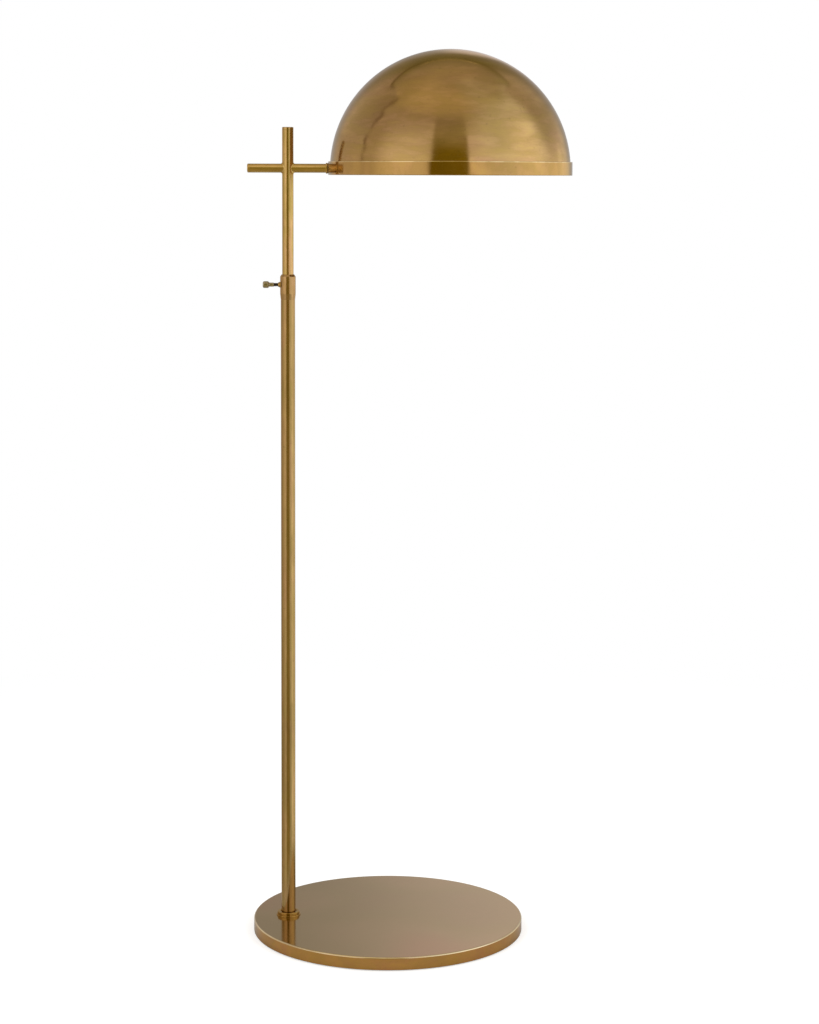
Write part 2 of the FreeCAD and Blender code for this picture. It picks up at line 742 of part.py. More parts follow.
def bulb_glass():
    """Hollow glass: a neck held in the cap, a cone and a round globe."""
    def side(radius, neck):
        touch, rim = tangent_point(cap_end, neck, radius)
        middle = math.atan2(rim, touch - globe_centre) / 2
        through = (globe_centre + radius * math.cos(middle), radius * math.sin(middle))
        return (touch, rim), (globe_centre + radius, 0) + through

    neck = bulb_cap_radius - bulb_cap_wall
    wall = bulb_glass_wall
    outer_touch, outer_arc = side(bulb_radius, neck)
    inner_touch, inner_arc = side(bulb_radius - wall, neck - wall)
    start = cap_end - bulb_neck_depth
    tip = (inner_arc[0], 0)
    return turned([(start, neck - wall), (start, neck), (cap_end, neck), outer_touch, outer_arc, tip,
                   inner_touch + inner_arc[2:], (cap_end, neck - wall)], holder_foot, RIGHT)


# ------------------------------------------------------------------ all pieces, each in its own file
nodes = {
    "felt_pad": felt_pad, "weight_plate": weight_plate, "base_cover": base_cover, "cord_gland": cord_gland,
    "tie_rod": tie_rod, "tie_washer": tie_washer, "tie_nut": tie_nut, "foot_plug": foot_plug,
    "foot_flange": foot_flange, "foot_collar": foot_collar, "post_tube": post_tube, "top_sleeve": top_sleeve,
    "liner": liner, "screw_boss": screw_boss, "screw_pad": screw_pad, "lock_screw": lock_screw,
    "lock_knob": lock_knob, "stem_tube": stem_tube, "stem_cap": stem_cap, "stop_collar": stop_collar,
    "glide_bush": glide_bush, "glide_clip": glide_clip, "stem_grommet": stem_grommet, "crossbar": crossbar,
    "crossbar_cap": crossbar_cap, "arm_flange": arm_flange,
    "friction_washer": friction_washer, "arm_spindle": arm_spindle, "spring_washer": spring_washer,
    "pivot_nut": pivot_nut, "shade_dome": shade_dome, "rim_band": rim_band, "saddle_washer": saddle_washer,
    "holder_bracket": holder_bracket, "holder_nipple": holder_nipple, "holder_nut": holder_nut,
    "holder_cap": holder_cap, "holder_shell": holder_shell, "holder_lining": holder_lining,
    "holder_core": holder_core, "screw_shell": screw_shell, "centre_contact": centre_contact,
    "switch_key": switch_key, "bulb_tip": bulb_tip, "bulb_cap": bulb_cap, "bulb_glass": bulb_glass,
}

os.makedirs("parts", exist_ok=True)
for name, make in nodes.items():
    shape = make()
    assert shape.isValid() and shape.Solids, name
    shape.exportStep(f"parts/{name}.step")
    print(f"{name}: {len(shape.Solids)} solid(s), {shape.Volume:.1f} mm3")
drop = arm_height - bar_radius - braze_size - post_height
print(f"stem travel: {travel_up:.1f} up, {drop:.1f} down before the crossbar's braze meets the sleeve")
print(f"shade axis x {shade_x:.2f}, rim z {rim_z:.2f}, top z {shade_centre.z + shade_radius:.2f}, "
      f"holder x {upright_x:.2f} z {holder_z:.2f}, knob end x {post_x - knob_start - knob_length:.2f}")
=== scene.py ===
# %% [markdown]
# # A bridge floor lamp in aged brass
# The lamp is a heavy round foot, a post near the foot's edge, a thinner stem that slides and turns in the post,
# a crossed arm, and a half-round shade that tilts on the arm's end. Nearly all of it is turned or drawn brass,
# so nearly every piece here is a profile carried round an axis, and most of the work is in the metal's finish.
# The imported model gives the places. We load it first, keep its box, and never move its pieces.

# %% Load the frame
import math

import bmesh
import bpy
import numpy as np
from mathutils import Euler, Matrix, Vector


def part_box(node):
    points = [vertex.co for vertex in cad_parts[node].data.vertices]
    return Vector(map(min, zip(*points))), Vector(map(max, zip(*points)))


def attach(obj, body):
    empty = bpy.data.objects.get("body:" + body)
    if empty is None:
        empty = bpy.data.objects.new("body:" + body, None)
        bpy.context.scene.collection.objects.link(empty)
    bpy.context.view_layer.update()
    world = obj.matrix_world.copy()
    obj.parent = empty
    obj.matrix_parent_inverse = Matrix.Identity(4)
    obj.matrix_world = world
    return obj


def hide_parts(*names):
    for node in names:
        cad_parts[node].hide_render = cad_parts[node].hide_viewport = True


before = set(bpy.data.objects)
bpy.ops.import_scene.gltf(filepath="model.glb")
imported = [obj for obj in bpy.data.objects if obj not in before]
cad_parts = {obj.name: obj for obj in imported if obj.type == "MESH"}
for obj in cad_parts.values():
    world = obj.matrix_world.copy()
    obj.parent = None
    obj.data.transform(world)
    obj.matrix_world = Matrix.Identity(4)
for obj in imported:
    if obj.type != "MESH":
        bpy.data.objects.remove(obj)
bpy.context.view_layer.update()
MM = 0.001
scene = bpy.context.scene

# %% [markdown]
# ## Camera
# The lamp is seen from the height of the shade's rim: the rim's ring looks like a straight bar, and the foot is
# a flat ellipse. A long lens from under three metres gives that. Part of the framing is a downward shift of the
# lens and part a small downward pitch, so that the post stays nearly upright.

# %% Camera at the shade's rim
LENS = 84.0
SHIFT = -0.14
PITCH = 0.0799
ROLL = 0.003
EYE = (0.0228, -2.672, 0.8546)

camera = bpy.data.objects.new("camera", bpy.data.cameras.new("camera"))
scene.collection.objects.link(camera)
camera.data.lens = LENS
camera.data.shift_y = SHIFT
camera.location = EYE
looking = Euler((math.pi / 2 - PITCH, 0, 0)).to_matrix()
camera.rotation_euler = (looking @ Euler((0, 0, ROLL)).to_matrix()).to_euler()
scene.camera = camera
scene.view_settings.view_transform = "Standard"
print("camera", EYE, "lens", LENS, "pitch in degrees", round(math.degrees(PITCH), 2))

# %% [markdown]
# ## Small tools for shaders
# World, floor and finishes are all node trees. Short helpers keep them readable: one adds a node and feeds its
# inputs, three do arithmetic, two are soft steps and windows, three mix numbers or colours, and one gives noise.

# %% Node helpers
def put(tree, kind, feeds=None, **settings):
    """Adds a node. feeds gives its inputs by name or number: a plain value, a socket, or a node's first output."""
    made = tree.nodes.new(kind)
    for key, value in settings.items():
        setattr(made, key, value)
    for key, value in (feeds or {}).items():
        if isinstance(value, bpy.types.Node):
            value = value.outputs[0]
        if isinstance(value, bpy.types.NodeSocket):
            tree.links.new(value, made.inputs[key])
        else:
            made.inputs[key].default_value = value
    return made


def calc(tree, operation, *values):
    """One arithmetic step on one, two or three values."""
    return put(tree, "ShaderNodeMath", dict(enumerate(values)), operation=operation).outputs[0]


def times(tree, first, second):
    """Product, of which a chain of masks is made."""
    return calc(tree, "MULTIPLY", first, second)


def plus(tree, first, second):
    """Sum."""
    return calc(tree, "ADD", first, second)


def step(tree, value, start, stop, low=0.0, high=1.0):
    """Goes smoothly from low at start to high at stop; start may be above stop."""
    return put(tree, "ShaderNodeMapRange", {"Value": value, 1: start, 2: stop, 3: low, 4: high},
               interpolation_type="SMOOTHSTEP").outputs[0]


def window(tree, value, start, stop, soft):
    """1 between start and stop, 0 outside, with soft edges."""
    return times(tree, step(tree, value, start - soft, start + soft),
                 step(tree, value, stop + soft, stop - soft))


def blend(tree, share, first, second):
    """first where share is 0 and second where it is 1, for plain numbers."""
    return put(tree, "ShaderNodeMix", {0: share, 2: first, 3: second}, data_type="FLOAT").outputs[0]


def tint(tree, share, first, second, how="MIX"):
    """The same for colours, mixed in the named way."""
    return put(tree, "ShaderNodeMix", {0: share, 6: first, 7: second}, data_type="RGBA",
               blend_type=how).outputs[2]


def ramp(tree, value, stops):
    """Colours along a value: stops is a list of (position, colour)."""
    made = put(tree, "ShaderNodeValToRGB", {0: value})
    band = made.color_ramp
    while len(band.elements) < len(stops):
        band.elements.new(0.5)
    for element, (place, colour) in zip(band.elements, stops):
        element.position = place
        element.color = (*colour, 1.0)
    return made.outputs[0]


def noise(tree, place, scale, detail, rough=0.5, bend=0.0):
    """Noise between 0 and 1 at a place."""
    return put(tree, "ShaderNodeTexNoise", {"Vector": place, "Scale": scale, "Detail": detail, "Roughness": rough,
                                            "Distortion": bend}).outputs[0]


def new_material(name):
    """Material and its node tree, still empty."""
    made = bpy.data.materials.new(name)
    made.use_nodes = True
    made.node_tree.nodes.clear()
    return made, made.node_tree


print("node helpers ready")

# %% [markdown]
# ## The studio
# Polished metal shows the room more than itself, so the room comes before the brass. It is a plain studio: a tall
# pale wall of light on each side of the camera with a darker gap between them, a pale ceiling, and a dimmer
# backdrop behind the lamp. On the shade the gap becomes the dark patch above the rim, and on the tubes the dark
# line down the middle. The room is worked out from the ray's direction alone, so it costs no geometry. Only the
# metal's reflections show it: other surfaces are lit by a plain level light, and the camera sees white.

# %% Directions in the room
BRIGHTEST = 1.3

world = bpy.data.worlds.new("studio")
scene.world = world
world.use_nodes = True
room = world.node_tree
room.nodes.clear()
direction = put(room, "ShaderNodeTexCoord").outputs["Generated"]
parts = put(room, "ShaderNodeSeparateXYZ", {0: direction}).outputs
azimuth = times(room, calc(room, "ARCTAN2", parts[0], times(room, parts[1], -1.0)), math.degrees(1))
height = times(room, calc(room, "ARCSINE", parts[2]), math.degrees(1))
around = calc(room, "ABSOLUTE", azimuth)
print("azimuth is 0 towards the camera and 90 to the right, height is 90 overhead")

# %% [markdown]
# Each part of the room has its own light from floor to ceiling, as a ramp over the height of the ray. The colours
# hold what a real studio adds to white: a warm floor low down, cooler walls, and a dusky ceiling.

# %% Light of walls, gap and back
def by_height(*stops):
    """Light that changes with the height of the ray: stops are (degrees above the horizon, red, green, blue). A
    ramp holds no colour above 1, so all are divided by BRIGHTEST, and the background's strength brings it back."""
    share = calc(room, "MULTIPLY_ADD", height, 1 / 180, 0.5)
    return ramp(room, share, [((h + 90) / 180, [c / BRIGHTEST for c in colour]) for h, *colour in stops])


left_wall = by_height((-60, 0.36, 0.30, 0.20), (-14, 0.53, 0.49, 0.38), (-4, 0.84, 0.76, 0.62), (0, 1.02, 0.94, 0.84),
                      (12, 0.92, 0.86, 0.84), (30, 0.76, 0.70, 0.68), (48, 0.58, 0.51, 0.43), (57, 0.66, 0.57, 0.42),
                      (70, 0.68, 0.58, 0.42), (90, 0.48, 0.41, 0.31))
right_wall = by_height((-60, 0.38, 0.34, 0.26), (-14, 0.70, 0.75, 0.72), (-4, 1.06, 1.12, 1.12),
                       (0, 0.98, 1.00, 1.02), (9, 1.16, 1.20, 1.26), (26, 1.00, 1.04, 1.10), (38, 0.92, 0.95, 0.98),
                       (50, 0.84, 0.86, 0.86), (60, 0.70, 0.67, 0.60), (72, 0.64, 0.60, 0.54), (90, 0.48, 0.41, 0.31))
gap = by_height((-60, 0.38, 0.30, 0.14), (-12, 0.40, 0.34, 0.15), (-3, 0.32, 0.25, 0.06), (0, 0.22, 0.165, 0.0),
                (18, 0.28, 0.22, 0.02), (28, 0.39, 0.34, 0.18), (45, 0.45, 0.39, 0.30), (60, 0.60, 0.52, 0.40))
back_left = by_height((-60, 0.34, 0.30, 0.24), (-14, 0.45, 0.40, 0.32), (-3, 0.58, 0.51, 0.43), (0, 0.76, 0.68, 0.60),
                      (10, 0.66, 0.60, 0.54), (22, 0.60, 0.56, 0.52), (48, 0.44, 0.38, 0.32))
back_right = by_height((-60, 0.36, 0.32, 0.26), (0, 1.10, 1.08, 1.02), (9, 0.82, 0.80, 0.80), (18, 0.58, 0.56, 0.56),
                       (45, 0.55, 0.50, 0.46))
backdrop = by_height((-60, 0.34, 0.31, 0.26), (0, 0.54, 0.55, 0.58), (18, 0.42, 0.42, 0.45), (28, 0.33, 0.31, 0.26),
                     (48, 0.25, 0.23, 0.10), (57, 0.40, 0.35, 0.26), (72, 0.50, 0.43, 0.32), (90, 0.48, 0.41, 0.31))
print("ramps over the height of the ray: left_wall, right_wall, gap, back_left, back_right, backdrop")

# %% [markdown]
# The walls meet in front of the lamp, where the gap is cut into them, and give way to the backdrop at the top.
# Every window and step below has its limits in degrees.

# %% Walls and gap
wander = noise(room, direction, 7.0, 3.0)
wander = times(room, calc(room, "SUBTRACT", wander, 0.5), 20.0)
bent = plus(room, azimuth, wander)

left_side = times(room, window(room, azimuth, -62, -18, 18), step(room, height, 50, 20))
left = tint(room, step(room, azimuth, -58, -84), left_wall, (0.47, 0.42, 0.37, 1.0))
left = tint(room, step(room, height, 38, 54), left, left_wall)
left = tint(room, times(room, step(room, height, 2, -6), 0.6), left, left_wall)
left = tint(room, times(room, left_side, 0.35), left, (0.92, 0.90, 0.92, 1.0))
side_light = times(room, window(room, azimuth, 62, 98, 16), step(room, height, 48, 22))
right = tint(room, times(room, side_light, 0.8), right_wall, (1.0, 1.0, 1.0, 1.0))
light = tint(room, step(room, azimuth, 8, 62), left, right)
below = step(room, height, -0.4, -2.4)
left_edge = plus(room, azimuth, plus(room, step(room, height, 2, 12, 1.8, 0.0), times(room, below, 4.0)))
right_edge = calc(room, "SUBTRACT", azimuth, times(room, below, 8.0))
gap_mask = times(room, window(room, left_edge, -19, 90, 2.4), step(room, right_edge, 18.5, 14.5))
light = tint(room, times(room, gap_mask, step(room, height, 60, 46)), light, gap)
light = tint(room, step(room, around, 95, 150), light, tint(room, step(room, height, 42, 49), light, backdrop))
print("walls and gap in", len(room.nodes), "nodes")

# %% [markdown]
# Past a right angle on both sides the walls end, and the dim back shows under an arch. Straight behind the lamp
# it has a light of its own, brighter to the right, and the foot's top mirrors that.

# %% Back and arch
back = tint(room, step(room, azimuth, -10, 10), back_left, back_right)
back = tint(room, step(room, around, 138, 158), back, backdrop)
deep = times(room, step(room, around, 166, 174), window(room, height, 6, 32, 6))
deep_left, deep_right = ([c / BRIGHTEST for c in colour] for colour in ((0.43, 0.42, 0.42), (0.80, 0.77, 0.82)))
deep_light = tint(room, step(room, parts[0], -0.055, 0.055), (*deep_left, 1.0), (*deep_right, 1.0))
back = tint(room, deep, back, deep_light)
shadow = times(room, window(room, around, 84, 136, 10), window(room, height, 54, 74, 5))
light = tint(room, times(room, shadow, 0.33), light, (0.22, 0.18, 0.10, 1.0))
sag = times(room, window(room, around, 126, 168, 8), 2.5)
drop = plus(room, sag, step(room, around, 108, 128, 0.0, 3.0))
arch_height = plus(room, height, drop)
behind_left = step(room, bent, -92, -97)
behind_right = step(room, azimuth, 94, 116)
behind = times(room, plus(room, behind_left, behind_right), step(room, arch_height, 54.5, 53))
light = tint(room, behind, light, back)
strip = times(room, window(room, azimuth, 125, 133, 3), step(room, height, 14, 4))
light = tint(room, times(room, strip, 0.7), light, (0.95, 0.95, 0.92, 1.0))
print("back in place,", len(room.nodes), "nodes")

# %% [markdown]
# Three thin lines finish it: the dark seam at the left, broken by noise so that it looks hand-drawn on the shade,
# the dark edge of the arch, and a faint glint above the arch.

# %% Seam, arch and glint
blobs = noise(room, direction, 5.0, 2.0)
left_seam = times(room, window(room, bent, -97, -92.5, 1.8), window(room, height, 3, 54, 2))
left_seam = times(room, left_seam, step(room, blobs, 0.36, 0.56, 0.18, 0.66))
light = tint(room, left_seam, light, (0.16, 0.11, 0.05, 1.0))
arch = times(room, window(room, arch_height, 52.4, 54.6, 0.6), step(room, around, 112, 130))
arch = times(room, arch, step(room, azimuth, -40, 40, 1.0, 0.5))
light = tint(room, times(room, arch, 0.7), light, (0.12, 0.09, 0.03, 1.0))
glint = times(room, window(room, height, 50.6, 51.8, 0.5), step(room, around, 158, 166))
light = tint(room, times(room, glint, 0.6), light, (0.70, 0.60, 0.36, 1.0))

path = put(room, "ShaderNodeLightPath")
seen = calc(room, "MAXIMUM", path.outputs["Is Camera Ray"], path.outputs["Is Transmission Ray"])
plain_light = tint(room, path.outputs["Is Glossy Ray"], (0.62, 0.61, 0.58, 1.0), light)
colour = tint(room, seen, plain_light, (1, 1, 1, 1))
strength = blend(room, seen, BRIGHTEST, 1.0)
background = put(room, "ShaderNodeBackground", {"Color": colour, "Strength": strength})
put(room, "ShaderNodeOutputWorld", {"Surface": background})
print("studio with", len(room.nodes), "nodes")

# %% [markdown]
# ## Surfaces from arrays
# A lathe turns a profile round an axis, and so do we: the profile is a short list of corners, and each corner is
# eased by a small curve, because no real edge is perfectly sharp and a polished edge shows as a bright line. Two
# extra points stand just outside each eased corner. They hold the flat faces flat, so that reflections in them
# stay true. All points of a surface are worked out at once as a grid of two parameters.

# %% Grid to mesh
MERGE = 1e-7


def put_surface(name, grid, wrap_rows=False):
    """Mesh over a grid of points (rows, columns, 3) in metres. Columns always close on themselves; rows close when
    wrap_rows is set. Rows whose points coincide, as at a pole, are merged to one point, and faces point outwards."""
    rows, columns = grid.shape[:2]
    index = np.arange(rows * columns).reshape(rows, columns)
    if wrap_rows:
        index = np.vstack([index, index[:1]])
    after = np.roll(index, -1, 1)
    quads = np.stack([index[:-1], after[:-1], after[1:], index[1:]], -1).reshape(-1, 4)
    mesh = bpy.data.meshes.new(name)
    mesh.from_pydata(grid.reshape(-1, 3), [], quads)
    work = bmesh.new()
    work.from_mesh(mesh)
    bmesh.ops.remove_doubles(work, verts=work.verts, dist=MERGE)
    bmesh.ops.recalc_face_normals(work, faces=work.faces)
    work.to_mesh(mesh)
    work.free()
    mesh.polygons.foreach_set("use_smooth", np.full(len(mesh.polygons), True))
    mesh.update()
    made = bpy.data.objects.new(name, mesh)
    scene.collection.objects.link(made)
    return made


print("surfaces ready")

# %% Profiles
def eased(corners, ring=False, bend=0.12, steps=5, hold=0.03):
    """Profile in millimetres through corners (along, radius) or (along, radius, bend). Each corner is cut back by
    its bend on both sides, to B and A, and rounded by (1-s)^2 B + 2 s (1-s) corner + s^2 A. ring closes the
    profile; otherwise its two ends stay as given."""
    at = np.array([corner[:2] for corner in corners], float)
    size = np.array([corner[2] if len(corner) > 2 else bend for corner in corners])[:, None]
    back, on = np.roll(at, 1, 0) - at, np.roll(at, -1, 0) - at
    back /= np.linalg.norm(back, axis=1)[:, None]
    on /= np.linalg.norm(on, axis=1)[:, None]
    s = np.linspace(0, 1, steps)[:, None, None]
    curve = (1 - s) ** 2 * (at + back * size) + 2 * s * (1 - s) * at + s ** 2 * (at + on * size)
    every = np.vstack([(at + back * (size + hold))[None], curve, (at + on * (size + hold))[None]])
    every = every.transpose(1, 0, 2)
    if ring:
        return every.reshape(-1, 2)
    return np.vstack([at[:1], every[1:-1].reshape(-1, 2), at[-1:]])


def arc(centre_along, centre_radius, radius, start, stop, count):
    """Points of a circle in a profile: (along, radius) = centre + radius * (sin a, cos a), a in degrees."""
    a = np.radians(np.linspace(start, stop, count))
    return np.stack([centre_along + radius * np.sin(a), centre_radius + radius * np.cos(a)], -1)


AXES = {"Z": ((1, 0, 0), (0, 1, 0), (0, 0, 1)), "X": ((0, 1, 0), (0, 0, 1), (1, 0, 0)),
        "-X": ((0, 0, 1), (0, 1, 0), (-1, 0, 0)), "Y": ((0, 0, 1), (1, 0, 0), (0, 1, 0))}


def turned(name, profile, foot, axis="Z", sides=128, ring=False, wave=None):
    """Surface of revolution: foot + along * axis + radius * (cos t * side + sin t * up), in millimetres. wave(along,
    t) may add a radial ripple, such as a screw's thread."""
    side, up, way = (np.array(v, float) for v in AXES[axis])
    t = np.linspace(0, 2 * np.pi, sides, endpoint=False)[None, :, None]
    along, radius = profile[:, :1, None], profile[:, 1:, None]
    if wave is not None:
        radius = radius + wave(along, t)
    grid = np.array(foot, float) + along * way + radius * (np.cos(t) * side + np.sin(t) * up)
    return put_surface(name, grid * MM, wrap_rows=ring)


def tube(name, corners, foot, axis="Z", sides=128, bend=0.12):
    """Turned piece whose profile closes on itself, such as a tube or a ring."""
    return turned(name, eased(corners, ring=True, bend=bend), foot, axis, sides, ring=True)


print("profiles ready, along", sorted(AXES))

# %% [markdown]
# ## Floor and soft light
# The floor is a wide pale disc. Near the lamp it is lit like any matt surface, so it takes the lamp's soft shadow,
# and further out it fades to the same white as the backdrop, so that no horizon shows. Reflections see the floor
# only close to the foot. Further out it lets them through to the room, whose low parts are the studio's own floor.

# %% Floor
FLOOR_RADIUS = 9.0
FLOOR_GLOW = 0.56
SHADOW_FADE = (0.45, 1.5)
MIRRORED_FADE = (0.17, 0.32)
FLOOR_RINGS = FLOOR_RADIUS / MM * np.linspace(0, 1, 25) ** 2

floor = turned("floor", np.stack([0 * FLOOR_RINGS, FLOOR_RINGS], -1), (0, 0, 0), sides=96)
pale, tree = new_material("pale floor")
place = put(tree, "ShaderNodeTexCoord").outputs["Object"]
distance = put(tree, "ShaderNodeVectorMath", {0: place}, operation="LENGTH").outputs["Value"]
grain = noise(tree, place, 3.0, 2.0)
matt = put(tree, "ShaderNodeBsdfDiffuse", {"Color": ramp(tree, grain, [(0.3, (0.56, 0.56, 0.56)),
                                                                       (0.7, (0.58, 0.58, 0.58))])})
path = put(tree, "ShaderNodeLightPath")
seen = calc(tree, "MAXIMUM", path.outputs["Is Camera Ray"], path.outputs["Is Transmission Ray"])
glow = put(tree, "ShaderNodeEmission", {"Strength": times(tree, seen, FLOOR_GLOW)})
near = put(tree, "ShaderNodeAddShader", {0: matt, 1: glow})
far = put(tree, "ShaderNodeEmission", {"Strength": blend(tree, seen, 0.7, 1.0)})
ground = put(tree, "ShaderNodeMixShader", {0: step(tree, distance, *SHADOW_FADE), 1: near, 2: far})
open_to_room = times(tree, path.outputs["Is Glossy Ray"], step(tree, distance, *MIRRORED_FADE))
ground = put(tree, "ShaderNodeMixShader", {0: open_to_room, 1: ground, 2: put(tree, "ShaderNodeBsdfTransparent")})
put(tree, "ShaderNodeOutputMaterial", {"Surface": ground})
floor.data.materials.append(pale)
print("floor of", 2 * FLOOR_RADIUS, "m, matt to", SHADOW_FADE[0], "m")

# %% [markdown]
# Two large soft lamps above the camera add a gentle direction to the light. They are hidden from reflections,
# because the room already supplies those. The third light is the opposite: a small card that only reflections
# show. It draws the bright line along the top of the arm, and is linked to the arm once that is built.

# %% Lamps and card
LAMP_SIZE, LAMP_POWER, LAMP_TARGET = 1.4, 16.0, (0.0, 0.0, 0.5)

for name, spot in (("left lamp", (-1.5, -1.4, 2.3)), ("right lamp", (1.7, -1.0, 2.2))):
    lamp = bpy.data.objects.new(name, bpy.data.lights.new(name, "AREA"))
    lamp.data.shape, lamp.data.size, lamp.data.energy = "DISK", LAMP_SIZE, LAMP_POWER
    lamp.location = spot
    aim = np.array(LAMP_TARGET) - np.array(spot)
    lamp.rotation_euler = (math.acos(aim[2] / np.linalg.norm(aim)) - math.pi, 0, math.atan2(aim[0], -aim[1]))
    lamp.visible_glossy = False
    scene.collection.objects.link(lamp)
    print(name, spot, LAMP_POWER, "W")

reflector = bpy.data.objects.new("reflector card", bpy.data.lights.new("reflector card", "AREA"))
reflector.data.shape, reflector.data.size, reflector.data.size_y = "RECTANGLE", 0.14, 0.32
reflector.data.energy = 0.048
reflector.data.color = (1.0, 0.95, 0.90)
reflector.location = (-0.135, -0.40, 1.12)
reflector.rotation_euler = (math.radians(90 - 42.5), 0, 0)
reflector.visible_camera = reflector.visible_diffuse = reflector.visible_transmission = False
scene.collection.objects.link(reflector)
print("card for the arm's upper line", reflector.data.energy, "W")

# %% [markdown]
# ## Seating a piece
# Every piece rides on the body that carries it, takes its finish, and stands for the CAD node that it replaces.
# We print how far its box lies from that node's box, which should be well under a millimetre.

# %% Seat a piece
def seat(piece, body, slot, finish, *nodes):
    """Gives the piece its finish and body, hides the nodes it stands for, and prints its fit to their box. slot is
    not used.
    """
    piece.data.materials.clear()
    piece.data.materials.append(finish)
    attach(piece, body)
    fit = ""
    if nodes:
        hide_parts(*nodes)
        points = np.array([vertex.co for vertex in piece.data.vertices])
        boxes = np.array([[*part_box(node)[0], *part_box(node)[1]] for node in nodes])
        target = np.concatenate([boxes[:, :3].min(0), boxes[:, 3:].max(0)])
        off = np.concatenate([points.min(0), points.max(0)]) - target
        fit = f"off its node by {abs(off).max() / MM:.2f} mm"
    print(piece.name, len(piece.data.polygons), "faces", fit)
    return piece


print("seat ready")

# %% [markdown]
# Two more tools change a piece after it is made: a drill, and a second finish for the faces that a condition
# picks out.

# %% Drill and second finish
SHARP_DEGREES = 50


def drilled(piece, radius, foot, axis, length):
    """Cuts a round hole with the boolean modifier, and keeps the result as the piece's own mesh."""
    tool = turned("drill", np.array([(0, 0), (0, radius), (length, radius), (length, 0)], float), foot, axis, 48)
    cut = piece.modifiers.new("hole", "BOOLEAN")
    cut.object, cut.solver = tool, "EXACT"
    bpy.context.view_layer.update()
    result = bpy.data.meshes.new_from_object(piece.evaluated_get(bpy.context.evaluated_depsgraph_get()))
    piece.modifiers.clear()
    piece.data = result
    result.set_sharp_from_angle(angle=math.radians(SHARP_DEGREES))
    bpy.data.objects.remove(tool)
    return piece


def finish_faces(piece, finish, chosen):
    """Gives one more finish to the faces whose middle points, in millimetres, chosen(x, y, z) picks out."""
    middles = np.array([face.center for face in piece.data.polygons]) / MM
    picked = chosen(*middles.T)
    slots = np.empty(len(picked), np.int32)
    piece.data.polygons.foreach_get("material_index", slots)
    slots[picked] = len(piece.data.materials)
    piece.data.materials.append(finish)
    piece.data.polygons.foreach_set("material_index", slots)
    print(piece.name, int(picked.sum()), "faces in", finish.name)


print("drill and second finish ready")

# %% [markdown]
# ## Aged brass
# The metal is brass that was darkened and then rubbed back by hand under a thin lacquer. Close up it is never one
# colour: brown, olive and rosy patches drift into each other, fine lines follow the way it was spun or drawn, and
# the gloss changes with them. So the base is full metal with a colour ramp on two sizes of noise, the fine lines
# come from noise that is stretched along the direction of work, and a clear coat on top adds the pale sheen that
# the metal shows at grazing angles.

# %% Grain directions
SPIN_STRETCH = 40.0
LINE_TURN, DOME_REACH, ON_AXIS = 0.14, 0.134, 1e-4


def grain_lines(tree, place, kind):
    """Coordinates in which noise draws lines: along Z ("up"), along X ("across"), or round the vertical axis
    ("round" with lines of equal height on a dome, "rings" with circles on a flat disc)."""
    if kind in ("up", "across"):
        scale = (1, 1, 1 / SPIN_STRETCH) if kind == "up" else (1 / SPIN_STRETCH, 1, 1)
        return put(tree, "ShaderNodeMapping", {"Vector": place, "Scale": scale}).outputs[0]
    part = put(tree, "ShaderNodeSeparateXYZ", {0: place})
    x, y, z = part.outputs
    rho = calc(tree, "SQRT", plus(tree, times(tree, x, x), times(tree, y, y)))
    safe = calc(tree, "MAXIMUM", rho, ON_AXIS)
    shrink = LINE_TURN / SPIN_STRETCH
    turn_x = times(tree, calc(tree, "DIVIDE", x, safe), shrink)
    turn_y = times(tree, calc(tree, "DIVIDE", y, safe), shrink)
    if kind == "round":
        lift = times(tree, calc(tree, "ARCTAN2", z, safe), DOME_REACH)
    else:
        lift = plus(tree, rho, z)
    return put(tree, "ShaderNodeCombineXYZ", {0: turn_x, 1: turn_y, 2: lift}).outputs[0]


print("grain directions: up, across, round, rings")

# %% Brass finish
LINE_SCALE, LINE_SHADE, FLECK_SCALE = 3000.0, (0.93, 0.93, 0.93), 260.0
# Pale brass for rubbed edges, which also paints a highlight line along them.
RUBBED_HIGHLIGHT = (0.85, 0.66, 0.36, 1.0)
WHITE = (1.0, 1.0, 1.0)


